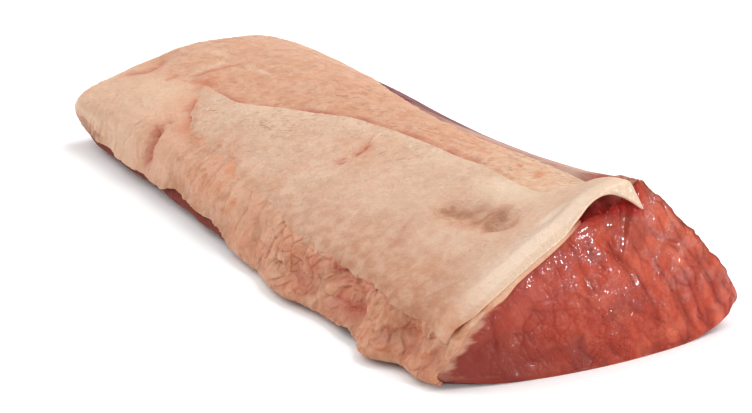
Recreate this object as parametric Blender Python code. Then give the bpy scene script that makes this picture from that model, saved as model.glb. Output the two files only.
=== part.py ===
"""Half of a boneless pork loin, lying on its flat underside.

It has three pieces: the lean muscle, the pinkish inner fat that wraps its top and near side,
and a paler sheet of outer fat on top of that, which lifts into a small flap at the front cut.

The loin lies along X with its front cut at +X, and its fat hangs over the near side, at -Y.
A place on its skin is given by u, 0 at the back cut and 1 at the front cut, and by v, which
counts the twelve points of a section: 0 at the near foot, 5 at the crest, 9 at the far foot.
"""

import bpy
import numpy as np

# Metres
BACK_X = -0.1845
FRONT_X = 0.1725
LENGTH = FRONT_X - BACK_X
CENTRE_Y = 0.0033
FRONT_BULGE = 0.019
BACK_BULGE = 0.007
BULGE_HEIGHT = 0.070
BULGE_MIDDLE = 0.012
BULGE_HALF_WIDTH = 0.095
SPINE_REACH = 0.036
SPINE_HEIGHT = 0.4

# Half widths and heights at equal steps from the back cut to the front cut
NEAR_WIDTHS = [0.070, 0.072, 0.072, 0.0715, 0.073, 0.074, 0.0745, 0.0745, 0.0735, 0.073, 0.0695]
FAR_WIDTHS = [0.067, 0.068, 0.069, 0.069, 0.070, 0.071, 0.072, 0.073, 0.074, 0.075, 0.0755]
CREST_HEIGHTS = [0.0465, 0.050, 0.052, 0.0535, 0.055, 0.0555, 0.056, 0.0575, 0.060, 0.064, 0.070]
FRONT_SHARES = [0, 0.10, 0.25, 0.42, 0.6, 0.72, 0.85, 0.95, 1]

# Where the fat bellies out at the near foot: place along the loin, reach along it, depth
NEAR_BELLIES = [(0.69, 0.05, 0.0042), (0.905, 0.028, 0.0060)]

# A section's twelve points, as shares of the half width and of the crest height
BACK_SECTION = [
    (-0.97, 0.04), (-1.0, 0.27), (-0.93, 0.56), (-0.63, 0.79), (-0.24, 0.94), (0.16, 1.0),
    (0.56, 0.96), (0.87, 0.76), (1.0, 0.40), (0.92, 0.08), (0.5, 0), (-0.35, 0),
]
FRONT_SECTION = [
    (-1.0, 0.03), (-0.95, 0.20), (-0.82, 0.43), (-0.43, 0.69), (0, 0.88), (0.30, 1.0),
    (0.48, 0.88), (0.655, 0.66), (0.85, 0.43), (0.985, 0.13), (0.57, 0), (-0.35, 0),
]
POINTS = len(BACK_SECTION)

# Edges of the layers, as (u, v)
FAT_LOW = [
    (0, 0.55), (0.06, 0.72), (0.12, 0.62), (0.2, 0.45), (0.25, 0.52), (0.3, 0.42), (0.35, 0.72),
    (0.4, 0.6), (0.46, 0.6), (0.51, 0.45), (0.56, -0.05), (0.62, -0.15), (0.8, -0.15),
    (0.835, 0.32), (0.87, -0.1), (1, -0.15),
]
FAT_HIGH = [
    (0, 7.2), (0.15, 7.1), (0.3, 6.6), (0.4, 5.75), (0.5, 5.25), (0.6, 5.05), (0.8, 5.1),
    (0.9, 4.9), (0.945, 4.85), (0.97, 4.4), (1, 4.0),
]
SHEET_LOW = [
    (0.2, 3.15), (0.24, 3.08), (0.27, 2.7), (0.31, 2.42), (0.4, 2.38), (0.5, 2.1), (0.58, 2.12),
    (0.65, 1.95), (0.8, 1.75), (0.9, 1.72), (1, 1.32),
]
SHEET_HIGH = [
    (0.2, 3.42), (0.3, 3.36), (0.4, 3.7), (0.5, 4.08), (0.6, 4.27), (0.75, 4.28), (0.9, 4.12),
    (0.92, 4.3), (0.95, 5.0), (0.97, 5.25), (1, 5.35),
]
SHEET_START = 0.212

# Thicknesses, and the play between two layers that lie on each other
GAP = 0.0003
SHEET_ABOVE = 0.0009
SHEET_BELOW = 0.0016
SHEET_EDGE = 0.0018
INNER_TOP = 0.0028
INNER_SIDE = 0.0062
INNER_EDGE = 0.0018
SILVERSKIN_EDGE = 0.0009
LEAN_RECESS = 0.0024
FLAP_LIFT = 0.0036
FLAP_HOLLOW = 0.0045
FLAP_PLAY = 0.0010
LIP_PLAY = 0.0004
LIP_OVERHANG = 0.0014
FLAP_OVERHANG = 0.0115
FLAP_START = 0.945
FLAP_MIDDLE = 4.3
FLAP_REACH = 0.45
FLAP_TIP = 5.2
TIP_REACH = 0.8
SINK_START = 0.89
SINK_END = 0.94
EDGE = 0.06

# Relief of the skin: u, v, reach along u, reach along v, height
RELIEF = [
    (0.855, 3.45, 0.030, 0.28, -0.0032),  # the deeper dent of the sheet
    (0.915, 3.50, 0.020, 0.25, -0.0022),  # its neighbour by the front lip
    (0.885, 3.55, 0.012, 0.30, 0.0014),  # the ridge between them
    (0.800, 3.10, 0.030, 0.45, 0.0012),
    (0.960, 3.00, 0.014, 1.20, 0.0010),  # the rolled front lip
    (0.250, 1.70, 0.010, 1.20, -0.0018),  # the crease down the near side
    (0.205, 1.60, 0.025, 0.80, 0.0012),
    (0.300, 1.50, 0.030, 0.80, 0.0012),
    (0.470, 1.30, 0.030, 0.45, 0.0014),  # lumps and folds of the near side
    (0.560, 0.80, 0.022, 0.40, 0.0022),
    (0.600, 1.55, 0.018, 0.40, -0.0016),
    (0.655, 0.95, 0.018, 0.55, 0.0026),
    (0.705, 1.20, 0.010, 0.60, -0.0026),
    (0.745, 0.90, 0.016, 0.55, 0.0024),
    (0.800, 0.95, 0.020, 0.40, -0.0026),
    (0.835, 0.60, 0.012, 0.30, 0.0016),
    (0.865, 1.15, 0.016, 0.50, 0.0022),
    (0.935, 0.70, 0.016, 0.60, -0.0022),
    (0.975, 0.60, 0.012, 0.60, 0.0016),
    (0.050, 3.55, 0.020, 0.35, -0.0018),  # the dimple at the back end
    (0.100, 4.60, 0.050, 0.80, 0.0012),
    (0.300, 4.80, 0.080, 0.80, 0.0010),
    (0.985, 8.10, 0.020, 0.30, 0.0014),  # knobs of the lean at the far front corner
    (0.990, 7.20, 0.018, 0.25, 0.0012),
]

# Steps of the meshes
COLUMNS = 46
SIDE_ROWS = 9
SHEET_ROWS = 12
TOP_ROWS = 6
BARE_ROWS = 17
CAP_RINGS = 8
DRAPE_COLUMNS = 4
FACE_CENTRE = (0.010, 0.030)


def spline(before, start, end, after, share):
    """A Catmull-Rom curve between start and end."""
    return 0.5 * (
        2 * start
        + (end - before) * share
        + (2 * before - 5 * start + 4 * end - after) * share**2
        + (3 * start - before - 3 * end + after) * share**3
    )


def around(points, v):
    """The closed curve through the points, at v points from the first."""
    points = np.asarray(points, float)
    step = np.floor(v).astype(int)
    share = (v - step)[..., None]
    near = [points[(step + k) % len(points)] for k in (-1, 0, 1, 2)]
    return spline(*near, share)


def along(values, u):
    """The curve through values at equal steps from u = 0 to u = 1."""
    values = np.asarray(values, float)
    last = len(values) - 1
    place = np.clip(u, 0, 1) * last
    step = np.minimum(np.floor(place).astype(int), last - 1)
    near = [values[np.clip(step + k, 0, last)] for k in (-1, 0, 1, 2)]
    return spline(*near, place - step)


def through(knots, u):
    """The curve through (u, value) knots, eased so that it doesn't overshoot."""
    places, values = np.asarray(knots, float).T
    slopes = np.gradient(values, places)
    turns = np.r_[True, np.diff(values)[:-1] * np.diff(values)[1:] <= 0, True]
    slopes[turns] = 0
    u = np.clip(u, places[0], places[-1])
    step = np.clip(np.searchsorted(places, u, side="right") - 1, 0, len(places) - 2)
    width = places[step + 1] - places[step]
    share = (u - places[step]) / width
    rise = values[step + 1] - values[step]
    start = slopes[step] * width
    end = slopes[step + 1] * width
    curve = (start + end - 2 * rise) * share**3 + (3 * rise - 2 * start - end) * share**2
    return values[step] + start * share + curve


def ease(low, high, x):
    """From 0 at low to 1 at high, with no corner."""
    share = np.clip((x - low) / (high - low), 0, 1)
    return share * share * (3 - 2 * share)


def mound(x, middle, reach):
    """A smooth hill of height 1."""
    return np.exp(-(((x - middle) / reach) ** 2))


def bulge(y, z):
    """How far the front cut stands forward of the fat's edge, from 0 at the crest to 1 at the foot."""
    across = np.clip(1 - ((y - BULGE_MIDDLE) / BULGE_HALF_WIDTH) ** 2, 0, 1)
    return across * np.clip(1 - np.clip(z, 0, None) / BULGE_HEIGHT, 0, 1) ** 0.8


def skin(u, v):
    """The smooth outer surface, as points."""
    front = along(FRONT_SHARES, u)[..., None]
    shape = around(BACK_SECTION, v) * (1 - front) + around(FRONT_SECTION, v) * front
    near = along(NEAR_WIDTHS, u)
    for place, reach, depth in NEAR_BELLIES:
        near = near + depth * mound(u, place, reach)
    y = shape[..., 0] * np.where(shape[..., 0] < 0, near, along(FAR_WIDTHS, u))
    z = np.maximum(shape[..., 1] * along(CREST_HEIGHTS, u), 0)
    forward = FRONT_BULGE * bulge(y, z) * ease(0.75, 1, u)
    backward = BACK_BULGE * bulge(y, z) * ease(0.12, 0, u)
    x = BACK_X + LENGTH * np.clip(u, 0, 1) + forward - backward
    return np.stack([x, y, z], -1)


def outward(u, v):
    """Unit directions away from a flat spine inside the loin, along which every layer is measured."""
    place = skin(u, v)
    across = place[..., 1] - np.clip(place[..., 1], -SPINE_REACH, SPINE_REACH)
    up = place[..., 2] - SPINE_HEIGHT * along(CREST_HEIGHTS, u)
    away = np.stack([np.zeros_like(up), across, up], -1)
    return away / np.linalg.norm(away, axis=-1, keepdims=True)


def underside(v):
    """1 on the flat underside and 0 on the skin that shows."""
    v = v % POINTS
    return ease(9.1, 9.8, v) * (1 - ease(11.2, 11.9, v))


def relief(u, v):
    """The height of the lumps and dents."""
    height = np.zeros(np.broadcast(u, v).shape)
    for at_u, at_v, reach_u, reach_v, amount in RELIEF:
        height = height + amount * mound(u, at_u, reach_u) * mound(v, at_v, reach_v)
    return height * (1 - underside(v))


def sheet_covers(u, v):
    """Where the outer fat lies on the inner fat."""
    inside = (v > through(SHEET_LOW, u) - EDGE / 2) & (v < through(SHEET_HIGH, u) + EDGE / 2)
    return inside & (u > SHEET_START - 1e-6)


def flap(u, v):
    """How much of the flap's lift a point has."""
    return ease(FLAP_START, 1, u) * mound(v, FLAP_MIDDLE, FLAP_REACH)


def sunk_top(u):
    """How far the fat beside the sheet has sunk to the sheet's underside, where the flap starts."""
    return ease(SINK_START, SINK_END, u)


def hollow(u, v):
    """The room under the flap, beyond what the sheet's own thickness takes."""
    play = LIP_PLAY + FLAP_PLAY * ease(3.9, 4.3, v)
    return FLAP_HOLLOW * flap(u, v) + play * sunk_top(u)


def inner_top(u, v):
    """The depth of the inner fat's outer surface below the skin."""
    beside = sunk_top(u) * (v > through(SHEET_LOW, u))
    covered = np.where(sheet_covers(u, v), 1, beside)
    return (SHEET_BELOW + GAP) * covered + hollow(u, v)


def inner_thickness(u, v):
    """The inner fat's thickness, most on the near side and thin at both edges."""
    low = through(FAT_LOW, u)
    high = through(FAT_HIGH, u)
    full = INNER_TOP + (INNER_SIDE - INNER_TOP) * (1 - ease(1.1, 3.1, v))
    rising = INNER_EDGE + (full - INNER_EDGE) * ease(low, low + 0.9, v)
    return SILVERSKIN_EDGE + (rising - SILVERSKIN_EDGE) * (1 - ease(high - 0.8, high, v))


def buried(u, v):
    """The depth of the lean's surface under the fat."""
    low = through(SHEET_LOW, u)
    high = through(SHEET_HIGH, u)
    beside = ease(high, high + 0.5, v) * (1 - sunk_top(u))
    sheet = (SHEET_BELOW + GAP) * ease(0.15, 0.2, u) * ease(low - 0.5, low, v) * (1 - beside)
    return sheet + hollow(u, v) + inner_thickness(u, v) + GAP


def bare(u, v):
    """The depth of the lean's surface where no inner fat covers it."""
    near_foot = LEAN_RECESS * ease(11.2, 12, v)
    high = through(SHEET_HIGH, u)
    room = (SHEET_BELOW + 2 * GAP) * sunk_top(u) + hollow(u, v)
    under_sheet = room * (1 - ease(high + 0.05, high + 0.4, v))
    return GAP * (1 - underside(v)) + near_foot + under_sheet


def at_depth(u, v, depth):
    """Points that far below the skin with its relief."""
    return skin(u, v) + outward(u, v) * (relief(u, v) - depth)[..., None]


def columns():
    """The places of the mesh columns, with a pair where the sheet starts."""
    before = np.linspace(0, SHEET_START - 0.004, round(COLUMNS * SHEET_START))
    after = np.linspace(SHEET_START, 1, COLUMNS - len(before))
    return np.concatenate([before, after])


def band(start, end, count):
    """Rows of places from the curve start to the curve end, one column for each value of u."""
    return start + (end - start) * np.linspace(0, 1, count)[:, None]


def fat_rows(u):
    """The v of each row of the inner fat, with a close pair at each edge of the sheet."""
    low = through(FAT_LOW, u) + 2 * EDGE
    high = through(FAT_HIGH, u) - 2 * EDGE
    sheet_low = through(SHEET_LOW, u)
    sheet_high = np.minimum(through(SHEET_HIGH, u), high - 2 * EDGE)
    rows = [
        band(low, sheet_low - EDGE, SIDE_ROWS),
        band(sheet_low, sheet_high, SHEET_ROWS),
        band(sheet_high + EDGE, high, TOP_ROWS),
    ]
    return np.concatenate(rows)


def mesh_object(name, points, faces, collection, material):
    mesh = bpy.data.meshes.new(name)
    mesh.from_pydata([tuple(point) for point in points], [], faces)
    mesh.validate()
    mesh.shade_smooth()
    mesh.materials.append(material)
    made = bpy.data.objects.new(name, mesh)
    collection.objects.link(made)
    return made


def strips(rows, count, first=0, closed=False):
    """Triangles between neighbouring rows of count points each, split the same way in every layer."""
    faces = []
    steps = count if closed else count - 1
    for row in range(rows - 1):
        here = first + row * count
        over = here + count
        for step in range(steps):
            after = (step + 1) % count
            faces.append((here + step, over + step, over + after))
            faces.append((here + step, over + after, here + after))
    return faces


def slab(top, bottom):
    """A closed slab between two grids of points of one size, given as rows x columns x 3."""
    rows, count = top.shape[:2]
    points = np.concatenate([top.reshape(-1, 3), bottom.reshape(-1, 3)])
    below = rows * count
    faces = [face[::-1] for face in strips(rows, count)]
    faces += strips(rows, count, below)
    border = list(range(count))
    border += [row * count + count - 1 for row in range(1, rows)]
    border += [(rows - 1) * count + step for step in range(count - 2, -1, -1)]
    border += [row * count for row in range(rows - 2, 0, -1)]
    for here, after in zip(border, border[1:] + border[:1]):
        faces.append((here, below + here, below + after, after))
    return points, faces


def cap(rim, end_x, reach):
    """Rings from just inside the rim to a pole, domed like a cut face. reach points outwards."""
    centre = np.array(FACE_CENTRE)
    rim_lift = rim[:, 0] - end_x - reach * bulge(rim[:, 1], rim[:, 2])
    rings = []
    for ring in range(1, CAP_RINGS):
        share = 1 - ring / CAP_RINGS
        across = centre + (rim[:, 1:] - centre) * share
        x = end_x + reach * bulge(across[:, 0], across[:, 1]) + rim_lift * share**2
        rings.append(np.column_stack([x, across]))
    pole = np.array([end_x + reach * bulge(*centre), *centre])
    return rings, pole


def lean_loin():
    """The muscle: buried under the fat, bare on the far side, underneath and at both cuts."""
    u = columns()
    low = through(FAT_LOW, u)
    high = through(FAT_HIGH, u)
    covered = np.concatenate([[low + EDGE], fat_rows(u), [high - EDGE]])
    uncovered = band(high, low + POINTS, BARE_ROWS)
    skin_u = np.broadcast_to(u, covered.shape)
    under = at_depth(skin_u, covered, buried(skin_u, covered))
    skin_u = np.broadcast_to(u, uncovered.shape)
    open_air = at_depth(skin_u, uncovered, bare(skin_u, uncovered))
    rings = np.concatenate([under, open_air]).transpose(1, 0, 2)
    rings[..., 2] = np.maximum(rings[..., 2], 0)
    back, back_pole = cap(rings[0], BACK_X, -BACK_BULGE)
    front, front_pole = cap(rings[-1], FRONT_X, FRONT_BULGE)
    rings = np.array(back[::-1] + list(rings) + front)
    count = rings.shape[1]
    points = np.concatenate([rings.reshape(-1, 3), [back_pole, front_pole]])
    faces = strips(len(rings), count, closed=True)
    last = (len(rings) - 1) * count
    for step in range(count):
        after = (step + 1) % count
        faces.append((len(points) - 2, step, after))
        faces.append((len(points) - 1, last + after, last + step))
    return points, faces


def inner_fat():
    """The pinkish layer between the lean and the sheet, bare where the sheet was trimmed off."""
    u = columns()
    rows = fat_rows(u)
    u = np.broadcast_to(u, rows.shape)
    top = at_depth(u, rows, inner_top(u, rows))
    bottom = at_depth(u, rows, buried(u, rows) - GAP)
    return slab(top, bottom)


def drape(v, share):
    """How the sheet goes on past the front cut: its outer points and the way they face."""
    over = (LIP_OVERHANG + FLAP_OVERHANG * mound(v, FLAP_TIP, TIP_REACH)) * share
    edge = at_depth(np.ones_like(v), v, -SHEET_ABOVE - FLAP_LIFT * flap(1, v))
    up = outward(np.ones_like(v), v)
    turn = ease(0, 0.006, over)[..., None]
    forward = np.array([1.0, 0, 0])
    place = edge + over[..., None] * (forward * (1 - turn) - up * turn)
    lean = FRONT_X + FRONT_BULGE * bulge(place[..., 1], place[..., 2])
    clear = lean + SHEET_ABOVE + SHEET_BELOW + 3 * GAP
    place[..., 0] += np.maximum(clear - place[..., 0], 0) * ease(0.0008, 0.004, over)
    facing = up * (1 - turn) + forward * turn
    return place, facing / np.linalg.norm(facing, axis=-1, keepdims=True)


def outer_fat():
    """The pale sheet, thin at its trimmed edges and lifted at the front into a flap."""
    u = columns()
    u = u[u > SHEET_START - 1e-6]
    low = through(SHEET_LOW, u)
    high = through(SHEET_HIGH, u)
    rows = band(low, high, SHEET_ROWS)
    share = np.broadcast_to(np.linspace(0, 1, SHEET_ROWS)[:, None], rows.shape)
    u = np.broadcast_to(u, rows.shape)
    rim = np.minimum(np.minimum(share, 1 - share) * 6, (u - SHEET_START) * 25)
    height = SHEET_EDGE + (SHEET_ABOVE + SHEET_BELOW - SHEET_EDGE) * ease(0, 1, rim)
    lift = FLAP_LIFT * flap(u, rows)
    top = at_depth(u, rows, SHEET_BELOW - height - lift)
    bottom = at_depth(u, rows, SHEET_BELOW - lift)
    front_rows = rows[:, -1]
    tops = [top]
    bottoms = [bottom]
    for column in range(1, DRAPE_COLUMNS + 1):
        place, facing = drape(front_rows, column / DRAPE_COLUMNS)
        thick = height[:, -1:] * (1 - 0.25 * column / DRAPE_COLUMNS)
        tops.append(place[:, None])
        bottoms.append((place - facing * thick)[:, None])
    return slab(np.concatenate(tops, 1), np.concatenate(bottoms, 1))


def food_material(name, colour, roughness):
    """A moist material of one colour."""
    material = bpy.data.materials.new(name)
    material.use_nodes = True
    shader = material.node_tree.nodes["Principled BSDF"]
    shader.inputs["Base Color"].default_value = (*colour, 1)
    shader.inputs["Roughness"].default_value = roughness
    shader.inputs["Metallic"].default_value = 0
    return material


def main():
    for old in list(bpy.data.objects):
        bpy.data.objects.remove(old, do_unlink=True)
    loin = bpy.data.collections.new("pork_loin")
    bpy.context.scene.collection.children.link(loin)
    pieces = [
        ("lean_loin", lean_loin, (0.48, 0.13, 0.10), 0.35),
        ("inner_fat", inner_fat, (0.68, 0.36, 0.25), 0.45),
        ("outer_fat", outer_fat, (0.74, 0.50, 0.36), 0.40),
    ]
    for name, shape, colour, roughness in pieces:
        points, faces = shape()
        points = points + np.array([0, CENTRE_Y, 0])
        mesh_object(name, points, faces, loin, food_material(name, colour, roughness))


main()
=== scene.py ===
"""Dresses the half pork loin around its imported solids.

Three detailed pieces stand for the three solids: the lean with its two cuts and its silverskin,
the pinkish inner fat, and the paler sheet of outer fat with its flap. Beads of moisture lie on the
front cut. A pale floor, soft lights and a camera finish it.

A place on the loin's skin is given by u, 0 at the back cut and 1 at the front cut, and by v, which
counts the twelve points of a section: 0 at the near foot, 5 at the crest, 9 at the far foot.
"""

import math

import bmesh
import bpy
import numpy as np
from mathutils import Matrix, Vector


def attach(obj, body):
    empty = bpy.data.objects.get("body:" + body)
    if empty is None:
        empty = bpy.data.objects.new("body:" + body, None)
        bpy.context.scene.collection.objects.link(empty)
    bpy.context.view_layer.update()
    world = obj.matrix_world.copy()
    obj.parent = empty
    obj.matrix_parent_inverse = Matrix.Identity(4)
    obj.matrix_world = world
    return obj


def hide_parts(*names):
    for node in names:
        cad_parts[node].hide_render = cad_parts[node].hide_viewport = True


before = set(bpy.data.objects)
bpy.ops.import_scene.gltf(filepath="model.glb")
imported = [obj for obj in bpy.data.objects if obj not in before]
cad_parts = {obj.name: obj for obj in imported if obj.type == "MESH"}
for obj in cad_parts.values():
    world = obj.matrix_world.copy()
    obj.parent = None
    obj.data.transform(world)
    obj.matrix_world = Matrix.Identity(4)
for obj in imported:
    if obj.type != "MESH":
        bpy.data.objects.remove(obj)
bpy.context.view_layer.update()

bl_info = {
    "name": "Half Pork Loin",
    "version": (1, 0, 0),
    "blender": (4, 5, 0),
    "location": "View3D > Sidebar > Pork Loin",
    "description": "A half pork loin: its lean, two layers of fat, moisture and a pale stage",
    "category": "Add Mesh",
}

# ---------------------------------------------------------------- the loin's shape, in metres
BACK_X = -0.1845
FRONT_X = 0.1725
LENGTH = FRONT_X - BACK_X
CENTRE_Y = 0.0033
FRONT_BULGE = 0.019
BACK_BULGE = 0.007
BULGE_HEIGHT = 0.070
BULGE_MIDDLE = 0.012
BULGE_HALF_WIDTH = 0.095
UNDERSIDE_START = 9.1, 9.8
UNDERSIDE_END = 11.2, 11.9
LAST_SHOWN = 9.3
SPINE_REACH = 0.036
SPINE_HEIGHT = 0.4
FACE_CENTRE = (0.010, 0.030)
ROLLED_END = 0.016
ROLLED_DEPTH = 0.0075

NEAR_WIDTHS = [0.07, 0.072, 0.072, 0.0715, 0.073, 0.074, 0.0745, 0.0745, 0.0735, 0.073, 0.0695]
FAR_WIDTHS = [0.067, 0.068, 0.069, 0.069, 0.07, 0.071, 0.072, 0.073, 0.074, 0.075, 0.0755]
CREST_HEIGHTS = [0.0465, 0.05, 0.052, 0.0535, 0.055, 0.0555, 0.056, 0.0575, 0.06, 0.064, 0.07]
FRONT_SHARES = [0, 0.10, 0.25, 0.42, 0.6, 0.72, 0.85, 0.95, 1]
NEAR_BELLIES = [(0.69, 0.05, 0.0042), (0.905, 0.028, 0.006)]
BACK_SECTION = [
    (-0.97, 0.04), (-1.0, 0.27), (-0.93, 0.56), (-0.63, 0.79), (-0.24, 0.94), (0.16, 1.0),
    (0.56, 0.96), (0.87, 0.76), (1.0, 0.4), (0.92, 0.08), (0.5, 0), (-0.35, 0),
]
FRONT_SECTION = [
    (-1.0, 0.03), (-0.95, 0.2), (-0.82, 0.43), (-0.43, 0.69), (0, 0.88), (0.3, 1.0), (0.48, 0.88),
    (0.655, 0.66), (0.85, 0.43), (0.985, 0.13), (0.57, 0), (-0.35, 0),
]
POINTS = len(BACK_SECTION)

# Edges of the layers, as (u, v)
FAT_LOW = [
    (0, 0.8), (0.03, 0.72), (0.07, 0.6), (0.12, 0.58), (0.2, 0.45), (0.25, 0.52), (0.3, 0.42),
    (0.35, 0.72), (0.4, 0.6), (0.46, 0.6), (0.51, 0.45), (0.56, -0.05), (0.62, -0.15),
    (0.8, -0.15), (0.835, 0.32), (0.87, -0.1), (1, -0.15),
]
FAT_HIGH = [
    (0, 7.2), (0.15, 7.1), (0.3, 6.6), (0.4, 6.0), (0.5, 5.6), (0.6, 5.3), (0.7, 5.16),
    (0.8, 5.08), (0.9, 4.9), (0.945, 4.85), (0.97, 4.4), (1, 4.0),
]
SHEET_LOW = [
    (0.2, 3.15), (0.24, 3.08), (0.27, 2.7), (0.31, 2.42), (0.4, 2.38), (0.5, 2.1), (0.58, 2.12),
    (0.65, 1.95), (0.8, 1.75), (0.9, 1.72), (1, 1.32),
]
SHEET_HIGH = [
    (0.2, 3.42), (0.3, 3.36), (0.4, 3.7), (0.5, 4.08), (0.6, 4.27), (0.75, 4.28), (0.9, 4.12),
    (0.92, 4.26), (0.945, 4.5), (0.97, 4.82), (1, 4.9),
]
SHEET_START = 0.212

# Thicknesses, and the play between two layers that lie on each other
GAP = 0.0003
SHEET_ABOVE = 0.0009
SHEET_BELOW = 0.0016
INNER_TOP = 0.0028
INNER_SIDE = 0.0062
INNER_EDGE = 0.0018
SILVERSKIN_EDGE = 0.0009
LEAN_RECESS = 0.0024
FLAP_LIFT = 0.0036
FLAP_HOLLOW = 0.0052
FLAP_PLAY = 0.0010
LIP_PLAY = 0.0004
LIP_OVERHANG = 0.0004
LIP_CURL = 0.0028
FLAP_OVERHANG = 0.0135
FLAP_START = 0.945
FLAP_MIDDLE = 4.14
FLAP_REACH = 0.42
HOLLOW_MIDDLE = 4.6
HOLLOW_REACH = 0.44
FLAP_TIP = 5.2
TIP_REACH = 0.62
FLAP_SLANT = 0.30
STRIP_THICKER = 0.0011
STRIP_FORWARD = 0.0014
SINK_START = 0.89
SINK_END = 0.94
EDGE = 0.06

# Lumps and dents of the skin: u, v, reach along u, reach along v, height
RELIEF = [
    (0.855, 3.45, 0.03, 0.28, -0.0032), (0.915, 3.5, 0.02, 0.25, -0.0022),
    (0.885, 3.55, 0.012, 0.3, 0.0014), (0.8, 3.1, 0.03, 0.45, 0.0012),
    (0.96, 3.0, 0.014, 1.2, 0.001), (0.25, 1.7, 0.01, 1.2, -0.0018),
    (0.01, 1.5, 0.04, 0.75, 0.0036), (0.205, 1.6, 0.025, 0.8, 0.0012),
    (0.3, 1.5, 0.03, 0.8, 0.0012), (0.47, 1.3, 0.03, 0.45, 0.0014),
    (0.56, 0.8, 0.022, 0.4, 0.0022), (0.6, 1.55, 0.018, 0.4, -0.0016),
    (0.655, 0.95, 0.018, 0.55, 0.0026), (0.705, 1.2, 0.01, 0.6, -0.0026),
    (0.745, 0.9, 0.016, 0.55, 0.0024), (0.8, 0.95, 0.02, 0.4, -0.0026),
    (0.835, 0.6, 0.012, 0.3, 0.0016), (0.865, 1.15, 0.016, 0.5, 0.0022),
    (0.935, 0.7, 0.016, 0.6, -0.0026), (0.975, 0.6, 0.012, 0.6, 0.0016),
    (0.05, 3.55, 0.02, 0.35, -0.0018), (0.1, 4.6, 0.05, 0.8, 0.0012), (0.3, 4.8, 0.08, 0.8, 0.001),
    (0.985, 8.1, 0.02, 0.3, 0.0014), (0.99, 7.2, 0.018, 0.25, 0.0012),
]

# Creases of the inner fat: depth and half width in metres, redness, then points as (u, v)
INNER_CREASES = [
    (0.0018, 0.001, 1.0, [(0.231, 2.32), (0.237, 2.13), (0.248, 1.94), (0.253, 1.53),
        (0.252, 1.35), (0.26, 1.29), (0.248, 1.03), (0.246, 0.72)]),
    (0.0022, 0.0009, 1.0, [(0.236, 3.18), (0.247, 2.98), (0.259, 2.81), (0.272, 2.71),
        (0.289, 2.56), (0.309, 2.43)]),
    (0.0009, 0.0007, 0.7, [(0.32, 2.3), (0.332, 2.45), (0.345, 2.4)]),
    (0.0012, 0.0008, 0.8, [(0.697, 1.41), (0.716, 1.01), (0.733, 0.9), (0.745, 0.77),
        (0.74, 0.55)]),
    (0.0012, 0.0007, 0.7, [(0.712, 1.72), (0.722, 1.5), (0.734, 1.46), (0.742, 1.6),
        (0.738, 1.8)]),
    (0.0013, 0.0008, 0.9, [(0.758, 1.94), (0.767, 1.78), (0.772, 1.61), (0.79, 1.7),
        (0.814, 1.77)]),
    (0.0015, 0.0009, 0.7, [(0.772, 1.15), (0.783, 1.37), (0.799, 1.54), (0.823, 1.64),
        (0.846, 1.71), (0.872, 1.67)]),
    (0.0011, 0.0007, 0.6, [(0.794, 1.29), (0.8, 1.43), (0.827, 1.56), (0.835, 1.41),
        (0.828, 1.19)]),
    (0.0016, 0.0016, 1.0, [(0.781, 0.94), (0.795, 0.84), (0.816, 0.86), (0.839, 0.89),
        (0.862, 1.08)]),
    (0.0013, 0.0009, 0.6, [(0.908, 1.13), (0.915, 0.89), (0.921, 0.59)]),
    (0.002, 0.0011, 0.7, [(0.932, 1.5), (0.935, 1.13), (0.944, 0.86), (0.946, 0.54),
        (0.956, 0.28)]),
    (0.0012, 0.0008, 0.6, [(0.864, 1.74), (0.886, 1.71), (0.904, 1.72), (0.907, 1.5)]),
    (0.0012, 0.0009, 0.7, [(0.975, 1.05), (0.985, 0.7), (0.982, 0.35)]),
    (0.001, 0.0007, 0.7, [(0.167, 3.44), (0.191, 3.44), (0.228, 3.5)]),
    (0.0008, 0.0007, 0.6, [(0.167, 3.44), (0.168, 3.88), (0.184, 4.41)]),
    (0.0014, 0.001, 0.8, [(0.034, 3.8), (0.065, 3.45), (0.07, 3.34), (0.069, 3.18), (0.048, 2.95),
        (0.031, 2.74)]),
    (0.0009, 0.0007, 0.4, [(0.131, 3.12), (0.133, 3.42)]),
]

# Creases of the outer sheet, in the same way
SHEET_CREASES = [
    (0.0012, 0.0006, 0.8, [(0.602, 3.38), (0.596, 3.6), (0.588, 3.78)]),
    (0.0007, 0.0009, 0.3, [(0.822, 2.3), (0.819, 2.53), (0.812, 2.65), (0.804, 2.85),
        (0.799, 3.0)]),
    (0.0005, 0.001, 0.2, [(0.845, 3.15), (0.862, 3.1), (0.885, 3.12)]),
    (0.0007, 0.0006, 0.6, [(0.597, 3.34), (0.593, 3.26), (0.599, 3.2), (0.604, 3.3)]),
]

# A shallow pale knife mark on the sheet
KNIFE_MARK = [(0.592, 3.7), (0.584, 3.88), (0.577, 4.05)]

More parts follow.
